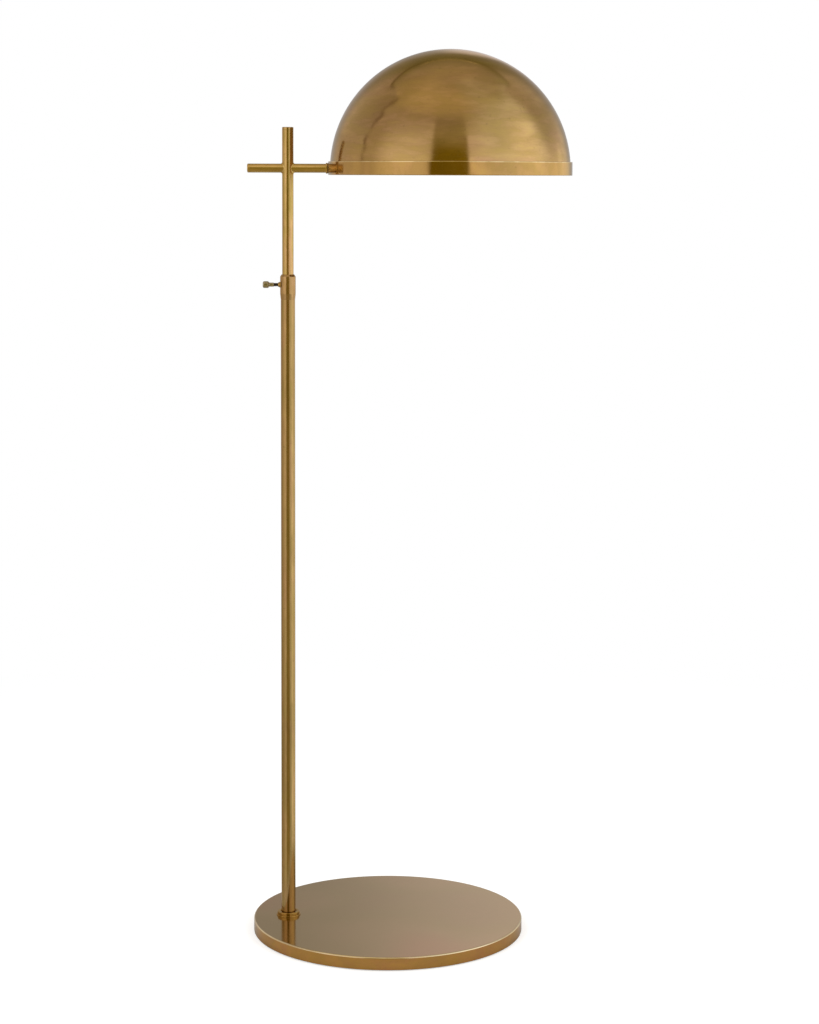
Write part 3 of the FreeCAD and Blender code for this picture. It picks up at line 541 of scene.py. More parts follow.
def aged_brass(name, tones, kind="up", centre=(0, 0, 0), patch=(1, 1, 1), patch_scale=18.0, rough=(0.10, 0.18),
               line_depth=0.002, wave_depth=0.03, coat=0.15, spots=0.25, fine=0.38, detail=3.0, edge=None):
    """Aged brass. tones are four colours from dull to rosy; patch stretches the patches and patch_scale sizes them;
    line_depth and wave_depth are heights in millimetres of the fine lines and of the slow unevenness that bends
    reflections; fine is the share of the smaller patches, and spots of the dark flecks. edge is (coordinate,
    value, reach) in metres, where the colour is painted bright: rubbed wear and a painted highlight line."""
    made, tree = new_material(name)
    object_place = put(tree, "ShaderNodeTexCoord").outputs["Object"]
    place = put(tree, "ShaderNodeMapping", {"Vector": object_place, "Location": [-c for c in centre]}).outputs[0]
    stretched = put(tree, "ShaderNodeMapping", {"Vector": place, "Scale": patch}).outputs[0]
    big = noise(tree, stretched, patch_scale, detail, bend=0.4)
    small = noise(tree, stretched, patch_scale * 4.5, 5.0, 0.62)
    lines = noise(tree, grain_lines(tree, place, kind), LINE_SCALE, 2.0, 0.7)
    dull, olive, bright, rosy = tones
    colour = ramp(tree, big, [(0.34, dull), (0.46, olive), (0.56, bright), (0.68, rosy)])
    second = ramp(tree, small, [(0.36, olive), (0.48, dull), (0.56, rosy), (0.66, bright)])
    colour = tint(tree, fine, colour, second)
    colour = tint(tree, 1.0, colour, ramp(tree, lines, [(0.3, LINE_SHADE), (0.7, WHITE)]), "MULTIPLY")
    fleck = noise(tree, place, FLECK_SCALE, 2.0)
    fleck = times(tree, step(tree, fleck, 0.66, 0.74), spots)
    colour = tint(tree, fleck, colour, (*(0.45 * c for c in dull), 1))
    gloss = blend(tree, step(tree, small, 0.35, 0.65), rough[1], rough[0])
    gloss = plus(tree, gloss, times(tree, calc(tree, "SUBTRACT", lines, 0.5), 0.06))
    # Painted highlight and rubbed wear: near the edge the colour is lifted towards a pale brass.
    if edge is not None:
        coordinate, value, reach = edge
        along = put(tree, "ShaderNodeSeparateXYZ", {0: object_place}).outputs[coordinate]
        worn = step(tree, calc(tree, "ABSOLUTE", calc(tree, "SUBTRACT", along, value)), reach, reach * 0.3)
        worn = times(tree, worn, step(tree, small, 0.35, 0.6, 0.45, 1.0))
        colour = tint(tree, worn, colour, RUBBED_HIGHLIGHT)
    slow = noise(tree, stretched, patch_scale * 1.6, 1.0)
    relief = put(tree, "ShaderNodeBump", {"Height": slow, "Strength": 1.0, "Distance": wave_depth * MM})
    relief = put(tree, "ShaderNodeBump", {"Height": lines, "Strength": 1.0, "Distance": line_depth * MM,
                                          "Normal": relief})
    shader = put(tree, "ShaderNodeBsdfPrincipled", {"Base Color": colour, "Metallic": 1.0, "Roughness": gloss,
                                                    "Normal": relief, "Coat Weight": coat, "Coat Roughness": 0.10,
                                                    "Specular Tint": (0.92, 0.85, 0.74, 1.0)})
    put(tree, "ShaderNodeOutputMaterial", {"Surface": shader})
    return made


print("brass recipe ready")

# %% [markdown]
# The same recipe gives every brass part its own look. The shade is spun, so its lines run round it. The tubes are
# drawn, so theirs run along. The foot's top is a dull rubbed plate, while its upright skirt is redder and its edge
# is painted pale, as rubbed wear and a painted highlight line, and the inside of the shade is a pale satin that
# spreads the bulb's light.

# %% Brass finishes
SHADE_X, SHADE_Z = 67.5, 862.7
POST_X = -113.5
BAR_Z = 864.4
SHADE_CENTRE = (SHADE_X * MM, 0, SHADE_Z * MM)

shade_brass = aged_brass(
    "spun brass", [(0.42, 0.255, 0.097), (0.47, 0.305, 0.092), (0.59, 0.385, 0.141), (0.53, 0.310, 0.151)],
    kind="round", centre=SHADE_CENTRE, patch=(0.40, 0.40, 1.5), patch_scale=15.0, rough=(0.08, 0.16),
    wave_depth=0.16)
# The band's top edge is painted pale: rubbed wear and a painted highlight line.
band_brass = aged_brass(
    "band brass", [(0.45, 0.27, 0.085), (0.48, 0.30, 0.090), (0.58, 0.36, 0.110), (0.56, 0.315, 0.125)],
    kind="round", centre=SHADE_CENTRE, patch=(0.8, 0.8, 0.5), rough=(0.07, 0.13), wave_depth=0.05,
    edge=("Z", 0.8716, 0.0010))
stem_brass = aged_brass(
    "drawn brass, gold", [(0.45, 0.30, 0.100), (0.52, 0.37, 0.095), (0.64, 0.44, 0.140), (0.64, 0.375, 0.175)],
    patch=(1, 1, 0.12), patch_scale=80.0, rough=(0.16, 0.23), fine=0.5)
arm_brass = aged_brass(
    "drawn brass, arm", [(0.56, 0.37, 0.12), (0.62, 0.43, 0.12), (0.76, 0.52, 0.17), (0.72, 0.45, 0.19)],
    kind="across", patch=(0.2, 1, 1), patch_scale=75.0, rough=(0.10, 0.16), fine=0.45)
post_brass = aged_brass(
    "drawn brass, brown", [(0.36, 0.225, 0.085), (0.39, 0.27, 0.080), (0.48, 0.32, 0.115), (0.47, 0.275, 0.120)],
    patch=(1, 1, 0.16), patch_scale=60.0, rough=(0.12, 0.18), fine=0.45)
sleeve_brass = aged_brass(
    "sleeve brass", [(0.42, 0.25, 0.100), (0.45, 0.28, 0.100), (0.55, 0.345, 0.150), (0.53, 0.30, 0.150)],
    patch=(1, 1, 0.3), patch_scale=60.0, rough=(0.12, 0.18))
fitting_brass = aged_brass(
    "turned brass", [(0.38, 0.23, 0.06), (0.44, 0.28, 0.07), (0.54, 0.34, 0.09), (0.50, 0.29, 0.09)],
    kind="rings", centre=(POST_X * MM, 0, 0), patch_scale=90.0, rough=(0.09, 0.16))
knob_brass = aged_brass(
    "turned brass, worn grey", [(0.42, 0.36, 0.22), (0.52, 0.46, 0.32), (0.68, 0.62, 0.47), (0.48, 0.38, 0.24)],
    kind="across", patch_scale=140.0, rough=(0.16, 0.26))
# The exposed thread between cone and knob is coloured near black.
thread_steel = aged_brass(
    "near-black thread", [(0.07, 0.05, 0.03), (0.09, 0.07, 0.04), (0.14, 0.11, 0.07), (0.11, 0.08, 0.05)],
    kind="across", patch_scale=140.0, rough=(0.20, 0.30), coat=0.0)
base_brass = aged_brass(
    "rubbed brass plate", [(0.40, 0.260, 0.100), (0.41, 0.280, 0.098), (0.45, 0.297, 0.118), (0.49, 0.275, 0.122)],
    kind="rings", patch_scale=5.0, rough=(0.132, 0.135), line_depth=0.001, wave_depth=0.02, coat=0.5, spots=0.1,
    fine=0.10, detail=1.0)
skirt_brass = aged_brass(
    "turned skirt brass", [(0.50, 0.255, 0.075), (0.50, 0.275, 0.055), (0.57, 0.300, 0.065), (0.54, 0.250, 0.080)],
    kind="rings", patch_scale=22.0, rough=(0.10, 0.16), coat=0.3, spots=0.1)
# Pale brass for the foot's top edge: rubbed wear and a painted highlight line.
edge_highlight_brass = aged_brass(
    "rubbed edge brass with painted highlight", [(0.80, 0.63, 0.38), (0.84, 0.69, 0.43), (0.92, 0.78, 0.52), (0.86, 0.68, 0.46)],
    kind="rings", patch_scale=30.0, rough=(0.10, 0.16), coat=0.3, spots=0.0)
inside_brass = aged_brass(
    "satin brass inside", [(0.70, 0.53, 0.27), (0.74, 0.57, 0.28), (0.80, 0.63, 0.34), (0.77, 0.58, 0.32)],
    kind="round", centre=SHADE_CENTRE, patch=(0.5, 0.5, 1.2), patch_scale=15.0, rough=(0.34, 0.42),
    line_depth=0.004, wave_depth=0.02, coat=0.0, spots=0.05)
print("materials so far:", len(bpy.data.materials))

# %% [markdown]
# ## Other finishes
# Inside the shade and under the foot are plain working materials: zinc-plated steel, black moulded plastic, card,
# white porcelain, felt and cast iron. One recipe covers them, with colours, gloss and grain of their own.

# %% Plain finishes
def plain(name, dark, light, metal, rough, scale, depth, **sockets):
    """Two colours mixed by noise, gloss that follows it, and a fine relief of depth millimetres."""
    made, tree = new_material(name)
    place = put(tree, "ShaderNodeTexCoord").outputs["Object"]
    grain = noise(tree, place, scale, 5.0, 0.6)
    colour = ramp(tree, grain, [(0.35, dark), (0.65, light)])
    gloss = blend(tree, step(tree, grain, 0.35, 0.65), rough[0], rough[1])
    relief = put(tree, "ShaderNodeBump", {"Height": grain, "Strength": 1.0, "Distance": depth * MM})
    shader = put(tree, "ShaderNodeBsdfPrincipled", {"Base Color": colour, "Metallic": metal, "Roughness": gloss,
                                                    "Normal": relief, **sockets})
    put(tree, "ShaderNodeOutputMaterial", {"Surface": shader})
    return made


cast_iron = plain("cast iron", (0.05, 0.05, 0.052), (0.10, 0.10, 0.102), 0.6, (0.55, 0.75), 500, 0.08)
felt = plain("felt", (0.018, 0.015, 0.012), (0.045, 0.036, 0.028), 0.0, (0.9, 1.0), 1800, 0.15)
zinc = plain("zinc plate", (0.48, 0.48, 0.45), (0.66, 0.65, 0.60), 1.0, (0.25, 0.40), 260, 0.004)
spring_steel = plain("spring steel", (0.22, 0.22, 0.23), (0.34, 0.34, 0.36), 1.0, (0.22, 0.32), 260, 0.003)
nylon = plain("nylon", (0.62, 0.59, 0.50), (0.72, 0.69, 0.60), 0.0, (0.35, 0.45), 200, 0.005)
rubber = plain("black rubber", (0.008, 0.008, 0.008), (0.016, 0.016, 0.016), 0.0, (0.55, 0.7), 700, 0.02)
fibre = plain("dark fibre", (0.060, 0.034, 0.014), (0.105, 0.060, 0.026), 0.0, (0.5, 0.65), 900, 0.02)
dark_steel = plain("bronze lacquer", (0.060, 0.042, 0.024), (0.095, 0.066, 0.038), 0.5, (0.32, 0.45), 400, 0.006)
pressed_card = plain("pressed card", (0.17, 0.11, 0.065), (0.25, 0.17, 0.10), 0.0, (0.75, 0.9), 900, 0.03)
porcelain = plain("porcelain", (0.74, 0.72, 0.66), (0.80, 0.78, 0.73), 0.0, (0.10, 0.16), 120, 0.01)
aluminium = plain("rolled aluminium", (0.55, 0.55, 0.54), (0.70, 0.70, 0.69), 1.0, (0.26, 0.36), 320, 0.004)
strip_brass = plain("strip brass", (0.52, 0.36, 0.13), (0.62, 0.44, 0.17), 1.0, (0.18, 0.28), 320, 0.003)
black_plastic = plain("moulded black", (0.010, 0.009, 0.008), (0.022, 0.019, 0.016), 0.0, (0.22, 0.34), 420, 0.006)
opal_glass = plain("opal glass", (0.80, 0.79, 0.75), (0.86, 0.85, 0.82), 0.0, (0.16, 0.22), 60, 0.004,
                   **{"Coat Weight": 0.4, "Coat Roughness": 0.05, "Subsurface Weight": 0.15,
                      "Subsurface Scale": 0.004})
print("plain finishes ready")

# %% [markdown]
# ## The foot
# The foot is a brass pan pressed over an iron disc: a flat top, a small eased edge that catches the light, and an
# upright skirt that stops a millimetre above the floor. One profile gives it, from the middle of its top round
# the skirt and back underneath. The cord's outlet at the back is a drilled hole with a small bush in it.

# %% Pan
BASE_RADIUS, BASE_TOP, SKIRT_FOOT, PAN_WALL = 152.5, 15.0, 1.0, 1.5
CHAMFER = 1.0
inner = BASE_RADIUS - PAN_WALL
rings = [(BASE_TOP, r) for r in np.linspace(0, BASE_RADIUS - 8, 12)]
pan_profile = np.vstack([rings, eased([
    (BASE_TOP, BASE_RADIUS - 6), (BASE_TOP, BASE_RADIUS - CHAMFER, 0.5), (BASE_TOP - CHAMFER, BASE_RADIUS, 0.5),
    (SKIRT_FOOT, BASE_RADIUS, 0.3), (SKIRT_FOOT, inner, 0.3), (BASE_TOP - PAN_WALL, inner, 0.6),
    (BASE_TOP - PAN_WALL, 0)])])
pan = turned("base_pan", pan_profile, (0, 0, 0), sides=256)
GLAND_Z, GLAND_BORE, GLAND_BARREL, GLAND_HEAD = 7.5, 3.2, 4.4, 5.6
drilled(pan, GLAND_BARREL, (0, BASE_RADIUS - 6, GLAND_Z), "Y", 12)
seat(pan, "base", "base_brass", base_brass, "base_cover")
finish_faces(pan, skirt_brass, lambda x, y, z: (z < BASE_TOP - CHAMFER) & (np.hypot(x, y) > inner + 0.5))
# The top edge is painted pale brass: rubbed wear and a painted highlight line.
finish_faces(pan, edge_highlight_brass, lambda x, y, z: (z > BASE_TOP - 1.35) & (np.hypot(x, y) > BASE_RADIUS - 1.25))

# %% Cord's bush
gland = tube("cord_bush", [
    (-9, GLAND_BORE, 0.2), (-9, GLAND_BARREL, 0.2), (0, GLAND_BARREL), (0, GLAND_HEAD, 0.2),
    (1.5, GLAND_HEAD, 0.7), (1.5, GLAND_BORE, 0.7)], (0, BASE_RADIUS, GLAND_Z), "Y", 64)
seat(gland, "base", "black_plastic", black_plastic, "cord_gland")

# %% [markdown]
# ## The post's foot
# Two rings close the post's joint with the foot: a wider flat one below, and a narrower one above it that is
# hollowed round the post, which gives the thin dark circle at its top.

# %% Foot rings
POST_RADIUS = 8.0
POST_AXIS = (POST_X, 0, 0)
FLANGE_RADIUS, FLANGE_TOP = 13.65, 16.2
COLLAR_RADIUS, COLLAR_TOP = 12.5, 19.4
RECESS_RADIUS, RECESS_FLOOR = 9.3, COLLAR_TOP - 1.0
flange = tube("foot_ring", [(BASE_TOP, POST_RADIUS), (BASE_TOP, FLANGE_RADIUS), (FLANGE_TOP, FLANGE_RADIUS, 0.4),
                            (FLANGE_TOP, POST_RADIUS)], POST_AXIS)
seat(flange, "base", "fitting_brass", fitting_brass, "foot_flange")
collar = tube("foot_collar_ring", [
    (FLANGE_TOP, POST_RADIUS), (FLANGE_TOP, COLLAR_RADIUS), (COLLAR_TOP, COLLAR_RADIUS, 0.6),
    (COLLAR_TOP, RECESS_RADIUS, 0.25), (RECESS_FLOOR, RECESS_RADIUS), (RECESS_FLOOR, POST_RADIUS)], POST_AXIS)
seat(collar, "base", "fitting_brass", fitting_brass, "foot_collar")

# %% [markdown]
# ## Post and sleeve
# The post is a drawn tube. At its top a thin sleeve thickens it for the thumb screw: a straight part, a short
# taper below it, and a lip over the tube's end that closes the gap to the stem. Both are drilled for the small pad
# at the screw's tip, and the bore follows the size of the CAD's pad.

# %% Post
POST_BORE, POST_LIP, POST_TOP = 7.0, 743.6, 746.0
TAPER_FOOT, TAPER_TOP = 717.6, 724.4
SLEEVE_RADIUS, STEM_BORE = 8.7, 6.4
SCREW_Z, PAD_PLAY = 734.5, 0.1


def box_mm(node):
    """Lowest and highest corner of a CAD node in millimetres."""
    return (np.array(corner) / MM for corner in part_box(node))


pad_low, pad_high = box_mm("screw_pad")
pad_bore = (pad_high[1] - pad_low[1]) / 2 + PAD_PLAY
post = tube("post", [(BASE_TOP, POST_BORE), (BASE_TOP, POST_RADIUS), (POST_LIP, POST_RADIUS),
                     (POST_LIP, POST_BORE)], POST_AXIS)
drilled(post, pad_bore, (POST_X - 4, 0, SCREW_Z), "-X", 6)
seat(post, "base", "post_brass", post_brass, "post_tube")
sleeve = tube("post_sleeve", [
    (TAPER_FOOT, POST_RADIUS, 0.05), (TAPER_TOP, SLEEVE_RADIUS, 0.6), (POST_LIP, SLEEVE_RADIUS, 0.5),
    (POST_TOP, 7.1, 0.35), (POST_TOP, STEM_BORE, 0.15), (POST_LIP, STEM_BORE), (POST_LIP, POST_RADIUS)], POST_AXIS)
drilled(sleeve, pad_bore, (POST_X - 4, 0, SCREW_Z), "-X", 6)
seat(sleeve, "base", "post_brass", sleeve_brass, "top_sleeve")
print("bore for the screw's pad:", round(2 * pad_bore, 2), "mm")

# %% [markdown]
# ## Thumb screw
# A small cone is brazed to the sleeve, a threaded screw runs through it, and a knob with a narrow neck and a
# rounded head sits on the screw's end. The thread is a real helix: the radius rises and falls with the distance
# along the screw minus the angle round it, once per turn.

# %% Thread and cone
SCREW_PITCH, SCREW_DEPTH, SCREW_RADIUS = 0.7, 0.36, 2.0
CONE_FOOT, CONE_TIP, CONE_BORE, TIP_RADIUS, FLARE = 7.4, 10.9, 2.05, 2.5, 2.25
KNOB_START, KNOB_END = 15.8, 28.1
SCREW_FOOT = (POST_X, 0, SCREW_Z)


def thread(pitch, depth, start, stop):
    """Ripple of a screw between start and stop: depth * (cos(2 pi (along / pitch) - t) - 1) / 2, so that its crests
    keep the radius."""
    return lambda along, t: np.where((along > start) & (along < stop),
                                     depth * (np.cos(2 * np.pi * along / pitch - t) - 1) / 2, 0)


share = np.linspace(0, 1, 14)
flare = np.stack([CONE_FOOT + (CONE_TIP - CONE_FOOT) * share, TIP_RADIUS + FLARE * (1 - share) ** 1.8], -1)
cone = turned("screw_cone", np.vstack([[(CONE_FOOT, CONE_BORE)], flare, [(CONE_TIP, CONE_BORE)]]), SCREW_FOOT, "-X",
              64, ring=True)
seat(cone, "base", "fitting_brass", fitting_brass, "screw_boss")

# %% Screw and knob
screw_line = np.linspace(CONE_FOOT + 0.05, KNOB_START + 1, 220)
screw_profile = np.vstack([[(CONE_FOOT, 0)], np.stack([screw_line, np.full(220, SCREW_RADIUS)], -1),
                           [(KNOB_START + 7, SCREW_RADIUS), (KNOB_START + 7, 0)]])
screw = turned("screw_thread", screw_profile, SCREW_FOOT, "-X", 48,
               wave=thread(SCREW_PITCH, SCREW_DEPTH, CONE_FOOT + 0.02, KNOB_START + 1.1))
seat(screw, "thumb_screw", "fitting_brass", thread_steel, "lock_screw")
share = np.linspace(0, 1, 20)
swell = np.stack([KNOB_START + 4.6 + 2.0 * share, 2.3 + 1.5 * (3 * share ** 2 - 2 * share ** 3)], -1)
knob_profile = np.vstack([[(KNOB_START, 0), (KNOB_START, 2.0)], arc(KNOB_START + 0.3, 2.0, 0.3, -90, 0, 5), swell,
                          arc(KNOB_END - 1.8, 2.0, 1.8, 0, 90, 14), [(KNOB_END, 1.0), (KNOB_END, 0)]])
knob = turned("screw_knob", knob_profile, SCREW_FOOT, "-X", 72)
seat(knob, "thumb_screw", "fitting_brass", knob_brass, "lock_knob")

# %% [markdown]
# ## Stem
# The upper tube is thinner and brighter than the post, because it is handled. A plug with an eased edge closes
# its top, and the seam below the plug's head shows as a fine line.

# %% Stem and its cap
STEM_RADIUS, STEM_HOLLOW, STEM_TOP = 6.35, 5.35, 910.0
(*_, stem_foot), (*_, stem_neck) = box_mm("stem_tube")
stem = tube("stem", [(stem_foot, STEM_HOLLOW), (stem_foot, STEM_RADIUS, 0.25), (stem_neck, STEM_RADIUS, 0.1),
                     (stem_neck, STEM_HOLLOW)], POST_AXIS, sides=96)
seat(stem, "stem", "stem_brass", stem_brass, "stem_tube")
top = turned("stem_top", eased([
    (stem_neck - 8, 0), (stem_neck - 8, STEM_HOLLOW), (stem_neck, STEM_HOLLOW, 0.05),
    (stem_neck + 0.06, STEM_RADIUS, 0.12), (STEM_TOP, STEM_RADIUS, 0.8), (STEM_TOP, 0)]), POST_AXIS, sides=96)
seat(top, "stem", "stem_brass", stem_brass, "stem_cap")

# %% [markdown]
# ## Arm
# The arm is a tube through the stem, brazed on both sides. The braze is the surface that a small ball leaves when
# it rolls round the crossing while it touches both tubes: the ball's centre keeps its own radius away from each
# tube, so its path has a formula, and the fillet is the part of the ball between its two contact points. The
# reflector card is linked to the arm alone, so that its shape isn't seen in the shade.

# %% Arm
BAR_RADIUS, BAR_BORE = 5.0, 4.0
BAR_NECK, BAR_END = -155.7, -69.05
BAR_AXIS = (0, 0, BAR_Z)
bar = tube("arm", [(BAR_NECK, BAR_BORE), (BAR_NECK, BAR_RADIUS, 0.1), (BAR_END, BAR_RADIUS), (BAR_END, BAR_BORE)],
           BAR_AXIS, "X", 96)
seat(bar, "stem", "stem_brass", arm_brass, "crossbar")
bar_cap = turned("arm_end", eased([(-8, 0), (-8, BAR_BORE), (0, BAR_BORE, 0.05), (0.06, BAR_RADIUS, 0.1),
                                   (3, BAR_RADIUS, 1.3), (3, 0)]), (BAR_NECK, 0, BAR_Z), "-X", 96)
seat(bar_cap, "stem", "stem_brass", arm_brass, "crossbar_cap")

lit_by_card = bpy.data.collections.new("lit by the reflector card")
for piece in (bar, bar_cap):
    lit_by_card.objects.link(piece)
reflector.light_linking.receiver_collection = lit_by_card

# %% Braze
BRAZE_BALL = 1.8


def braze(name, way, ball, steps=10, sides=96):
    """Rolling-ball fillet where the arm leaves the stem on the side way (+1 or -1). With stem radius R, arm radius
    r and ball radius b, the centre at angle p is y = (r+b) sin p, z = (r+b) cos p, x = sqrt((R+b)^2 - y^2). The
    contact directions are -(x, y, 0)/(R+b) and -(0, y, z)/(r+b), and the fillet turns evenly from one to the
    other. A last row inside both tubes closes it."""
    p = np.linspace(0, 2 * np.pi, sides, endpoint=False)
    far_stem, far_bar = STEM_RADIUS + ball, BAR_RADIUS + ball
    y, z = far_bar * np.sin(p), far_bar * np.cos(p)
    x = np.sqrt(far_stem ** 2 - y ** 2)
    centre = np.stack([x, y, z], -1)
    to_stem = -np.stack([x, y, 0 * x], -1) / far_stem
    to_bar = -np.stack([0 * x, y, z], -1) / far_bar
    opening = np.arccos(np.clip((to_stem * to_bar).sum(-1), -1, 1))[:, None]
    s = np.linspace(0, 1, steps)[:, None, None]
    turn = (np.sin((1 - s) * opening) * to_stem + np.sin(s * opening) * to_bar) / np.sin(opening)
    y_in, z_in = 0.9 * BAR_RADIUS * np.sin(p), 0.9 * BAR_RADIUS * np.cos(p)
    inside = np.stack([0.95 * np.sqrt(STEM_RADIUS ** 2 - y_in ** 2), y_in, z_in], -1)
    grid = np.vstack([centre + ball * turn, inside[None]]) * (way, 1, 1) + (POST_X, 0, BAR_Z)
    return put_surface(name, grid * MM, wrap_rows=True)


for name, way in (("braze_left", -1), ("braze_right", 1)):
    seat(braze(name, way, BRAZE_BALL), "stem", "stem_brass", arm_brass)

# %% [markdown]
# ## Pivot
# At the shade the arm ends in a thin ring. A fibre washer lies between the ring and the shade, and shows as a fine
# dark line. The hollow spindle, spring washer and nut behind it stay as the CAD made them.

# %% Ring and washer
RING_START, RING_RADIUS = -71.05, 6.0
WASHER_RADIUS, WASHER_BORE, WASHER_END = 5.5, 4.0, -68.55
ring_piece = tube("arm_ring", [(RING_START, BAR_RADIUS), (RING_START, RING_RADIUS, 0.35),
                               (BAR_END, RING_RADIUS, 0.35), (BAR_END, BAR_RADIUS)], BAR_AXIS, "X", 96)
seat(ring_piece, "stem", "fitting_brass", arm_brass, "arm_flange")
washer = tube("pivot_washer", [(BAR_END, WASHER_BORE), (BAR_END, WASHER_RADIUS), (WASHER_END, WASHER_RADIUS),
                               (WASHER_END, WASHER_BORE)], BAR_AXIS, "X", 96, bend=0.08)
seat(washer, "stem", "fibre", fibre, "friction_washer")

# %% [markdown]
# ## Shade
# The shade is spun from one disc: a hemisphere that runs into a short straight skirt, one millimetre thick. The
# profile goes from the pole down the outside, round the rim, and up the inside to the pole again, so it is a
# closed wall, and the inside gets its satin. A turned band is set round the rim, and its eased upper edge, painted
# pale along a thin line as rubbed wear and a painted highlight, is the bright line above the rim.

# %% Dome and band
SHADE_RADIUS, SHADE_WALL, RIM_Z = 134.0, 1.0, 857.0
BAND_RADIUS, BAND_TOP = 136.0, 872.0
PIVOT_RADIUS, PIVOT_START = 4.05, (-70, 0, BAR_Z)
rim, wall_radius = RIM_Z - SHADE_Z, SHADE_RADIUS - SHADE_WALL
outside = arc(0, 0, SHADE_RADIUS, 90, 0, 110)
inside = arc(0, 0, wall_radius, 0, 90, 90)
outside[0, 1] = inside[-1, 1] = 0.0
lip = eased([(0, SHADE_RADIUS), (rim, SHADE_RADIUS, 0.3), (rim, wall_radius, 0.3), (0, wall_radius)])[1:-1]
dome = turned("shade", np.vstack([outside, lip, inside]), (SHADE_X, 0, SHADE_Z), sides=256)
drilled(dome, PIVOT_RADIUS, PIVOT_START, "X", 12)
seat(dome, "shade", "shade_brass", shade_brass, "shade_dome")


def is_inside(x, y, z):
    """Faces on the wall's inner side, by their distance from the hemisphere's centre, or below it from the axis."""
    return np.sqrt((x - SHADE_X) ** 2 + y ** 2 + np.maximum(z - SHADE_Z, 0) ** 2) < SHADE_RADIUS - 0.6


finish_faces(dome, inside_brass, is_inside)

band_foot = math.sqrt(SHADE_RADIUS ** 2 - (BAND_TOP - SHADE_Z) ** 2)
band = tube("shade_band", [
    (RIM_Z, SHADE_RADIUS, 0.1), (RIM_Z, BAND_RADIUS, 0.6), (BAND_TOP, BAND_RADIUS, 0.7),
    (BAND_TOP, band_foot, 0.1), (SHADE_Z, SHADE_RADIUS, 0.1)], (SHADE_X, 0, 0), sides=256)
drilled(band, PIVOT_RADIUS, PIVOT_START, "X", 12)
seat(band, "shade", "band_brass", band_brass, "rim_band")

# %% [markdown]
# ## Lampholder and bulb
# Tilting the shade shows its inside: a holder on a bent bracket, lying under the crown, with a round bulb that
# points along the arm. Cap, shell and bulb are turned shapes. The bulb's metal cap has a rolled thread, with soft
# round waves in place of a sharp V. All distances are from the holder's foot, along the bulb's axis.

# %% Holder
HOLDER_X, HOLDER_Z = -40.7, 900.0
HOLDER_FOOT = (HOLDER_X, 0, HOLDER_Z)
CAP_RADIUS, CAP_HOLLOW, NIPPLE_HOLE, SHELL_HOLLOW = 17.2, 16.4, 4.85, 15.6
KEY_HOLE, KEY_PLACE = 2.05, (HOLDER_X + 21, 0, HOLDER_Z - 20)
holder_cap = tube("holder_cap_turned", [
    (0, NIPPLE_HOLE), (0, 8.5, 0.8), (5, 8.5, 1.2), (11, CAP_RADIUS, 1.6), (17, CAP_RADIUS, 0.3),
    (17, CAP_HOLLOW), (11.4, CAP_HOLLOW, 1.4), (5.8, NIPPLE_HOLE)], HOLDER_FOOT, "X", 96)
seat(holder_cap, "shade", "fitting_brass", fitting_brass, "holder_cap")
shell = turned("holder_shell_turned", np.vstack([
    eased([(52, SHELL_HOLLOW), (14, SHELL_HOLLOW), (14, CAP_HOLLOW), (49.6, CAP_HOLLOW, 0.3), (49.7, 16.42)])[:-1],
    arc(50.8, 16.0, 1.1, -80, 88, 14)]), HOLDER_FOOT, "X", 96, ring=True)
drilled(shell, KEY_HOLE, KEY_PLACE, "Z", 8)
seat(shell, "shade", "fitting_brass", fitting_brass, "holder_shell")

# %% [markdown]
# The bulb's neck is one cubic between the metal cap and the globe. It leaves the cap straight and meets the globe
# along its tangent, so no crease shows where they join. The run is (2t^3 - 3t^2 + 1) A + (t^3 - 2t^2 + t) U
# + (3t^2 - 2t^3) B + (t^3 - t^2) V, with end points A and B and end directions U and V.

# %% Bulb
GLOBE_RADIUS, NECK_RADIUS, GLASS_WALL, TOUCH = 30.0, 12.6, 0.8, math.radians(62)
(cap_start, *_), (cap_end, *_) = (corner - HOLDER_X for corner in box_mm("bulb_cap"))
_, globe_end = box_mm("bulb_glass")
globe_x = globe_end[0] - GLOBE_RADIUS - HOLDER_X
run = np.linspace(0, 1, 40)[:, None]
start = np.array([cap_end - 1, NECK_RADIUS])
end = np.array([globe_x - GLOBE_RADIUS * math.cos(TOUCH), GLOBE_RADIUS * math.sin(TOUCH)])
slope_start = np.array([26.0, 0.0])
slope_end = 34 * np.array([math.sin(TOUCH), math.cos(TOUCH)])
neck = ((2 * run ** 3 - 3 * run ** 2 + 1) * start + (run ** 3 - 2 * run ** 2 + run) * slope_start
        + (3 * run ** 2 - 2 * run ** 3) * end + (run ** 3 - run ** 2) * slope_end)
a = np.linspace(math.pi - TOUCH, 0, 60)
globe = np.stack([globe_x + GLOBE_RADIUS * np.cos(a), GLOBE_RADIUS * np.sin(a)], -1)
glass_outside = np.vstack([[(cap_end - 6, NECK_RADIUS)], neck, globe[1:]])
glass_outside[-1, 1] = 0.0
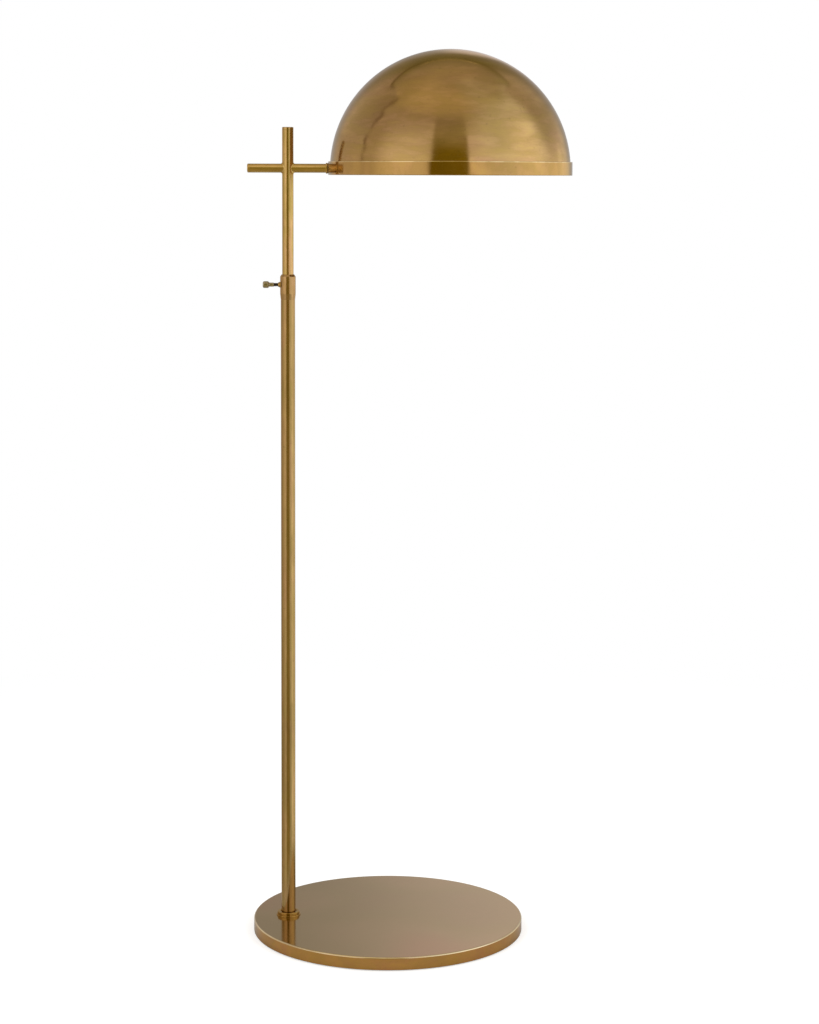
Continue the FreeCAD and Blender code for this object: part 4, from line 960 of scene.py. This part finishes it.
glass_inside = glass_outside[::-1].copy()
glass_inside[:, 1] = np.maximum(glass_inside[:, 1] - GLASS_WALL, 0)
glass_inside[0] = (glass_inside[0, 0] - GLASS_WALL, 0.0)
bulb = turned("bulb_glass_blown", np.vstack([glass_outside, glass_inside]), HOLDER_FOOT, "X", 96)
seat(bulb, "shade", "opal_glass", opal_glass, "bulb_glass")

# %% Bulb's metal cap
ROLL_PITCH, ROLL_DEPTH, ROLL_RADIUS = 3.6, 0.7, 13.2
cap_line = np.linspace(cap_start + 2.1, cap_end - 0.6, 160)
cap_profile = np.vstack([[(cap_start, 9.0)], np.stack([cap_line, np.full(160, ROLL_RADIUS)], -1),
                         [(cap_end, 12.9), (cap_end, 12.62), (cap_start + 2.7, 12.2), (cap_start + 0.6, 9.0)]])
bulb_screw = turned("bulb_screw_cap", cap_profile, HOLDER_FOOT, "X", 96, ring=True,
                    wave=thread(ROLL_PITCH, ROLL_DEPTH, cap_start + 2, cap_end - 0.5))
seat(bulb_screw, "shade", "aluminium", aluminium, "bulb_cap")

# %% [markdown]
# ## Pieces that stay as the CAD made them
# Nuts, washers, rods and the parts hidden inside need no new shape. Each gets the finish of its material.

# %% Finishes for the carried-over nodes
KEPT = {
    felt: ["felt_pad"], cast_iron: ["weight_plate"],
    zinc: ["tie_rod", "tie_washer", "tie_nut", "arm_spindle", "pivot_nut", "holder_nipple", "holder_nut"],
    fitting_brass: ["foot_plug", "stop_collar", "saddle_washer"], nylon: ["liner", "screw_pad", "glide_bush"],
    spring_steel: ["glide_clip", "spring_washer"], rubber: ["stem_grommet"], dark_steel: ["holder_bracket"],
    pressed_card: ["holder_lining"], porcelain: ["holder_core"], aluminium: ["screw_shell"],
    strip_brass: ["centre_contact"], black_plastic: ["switch_key", "bulb_tip"]}
for finish, names in KEPT.items():
    for name in names:
        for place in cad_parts[name].material_slots:
            place.material = finish
print("carried over:", sum(len(names) for names in KEPT.values()))

# %% Update the scene
bpy.context.view_layer.update()
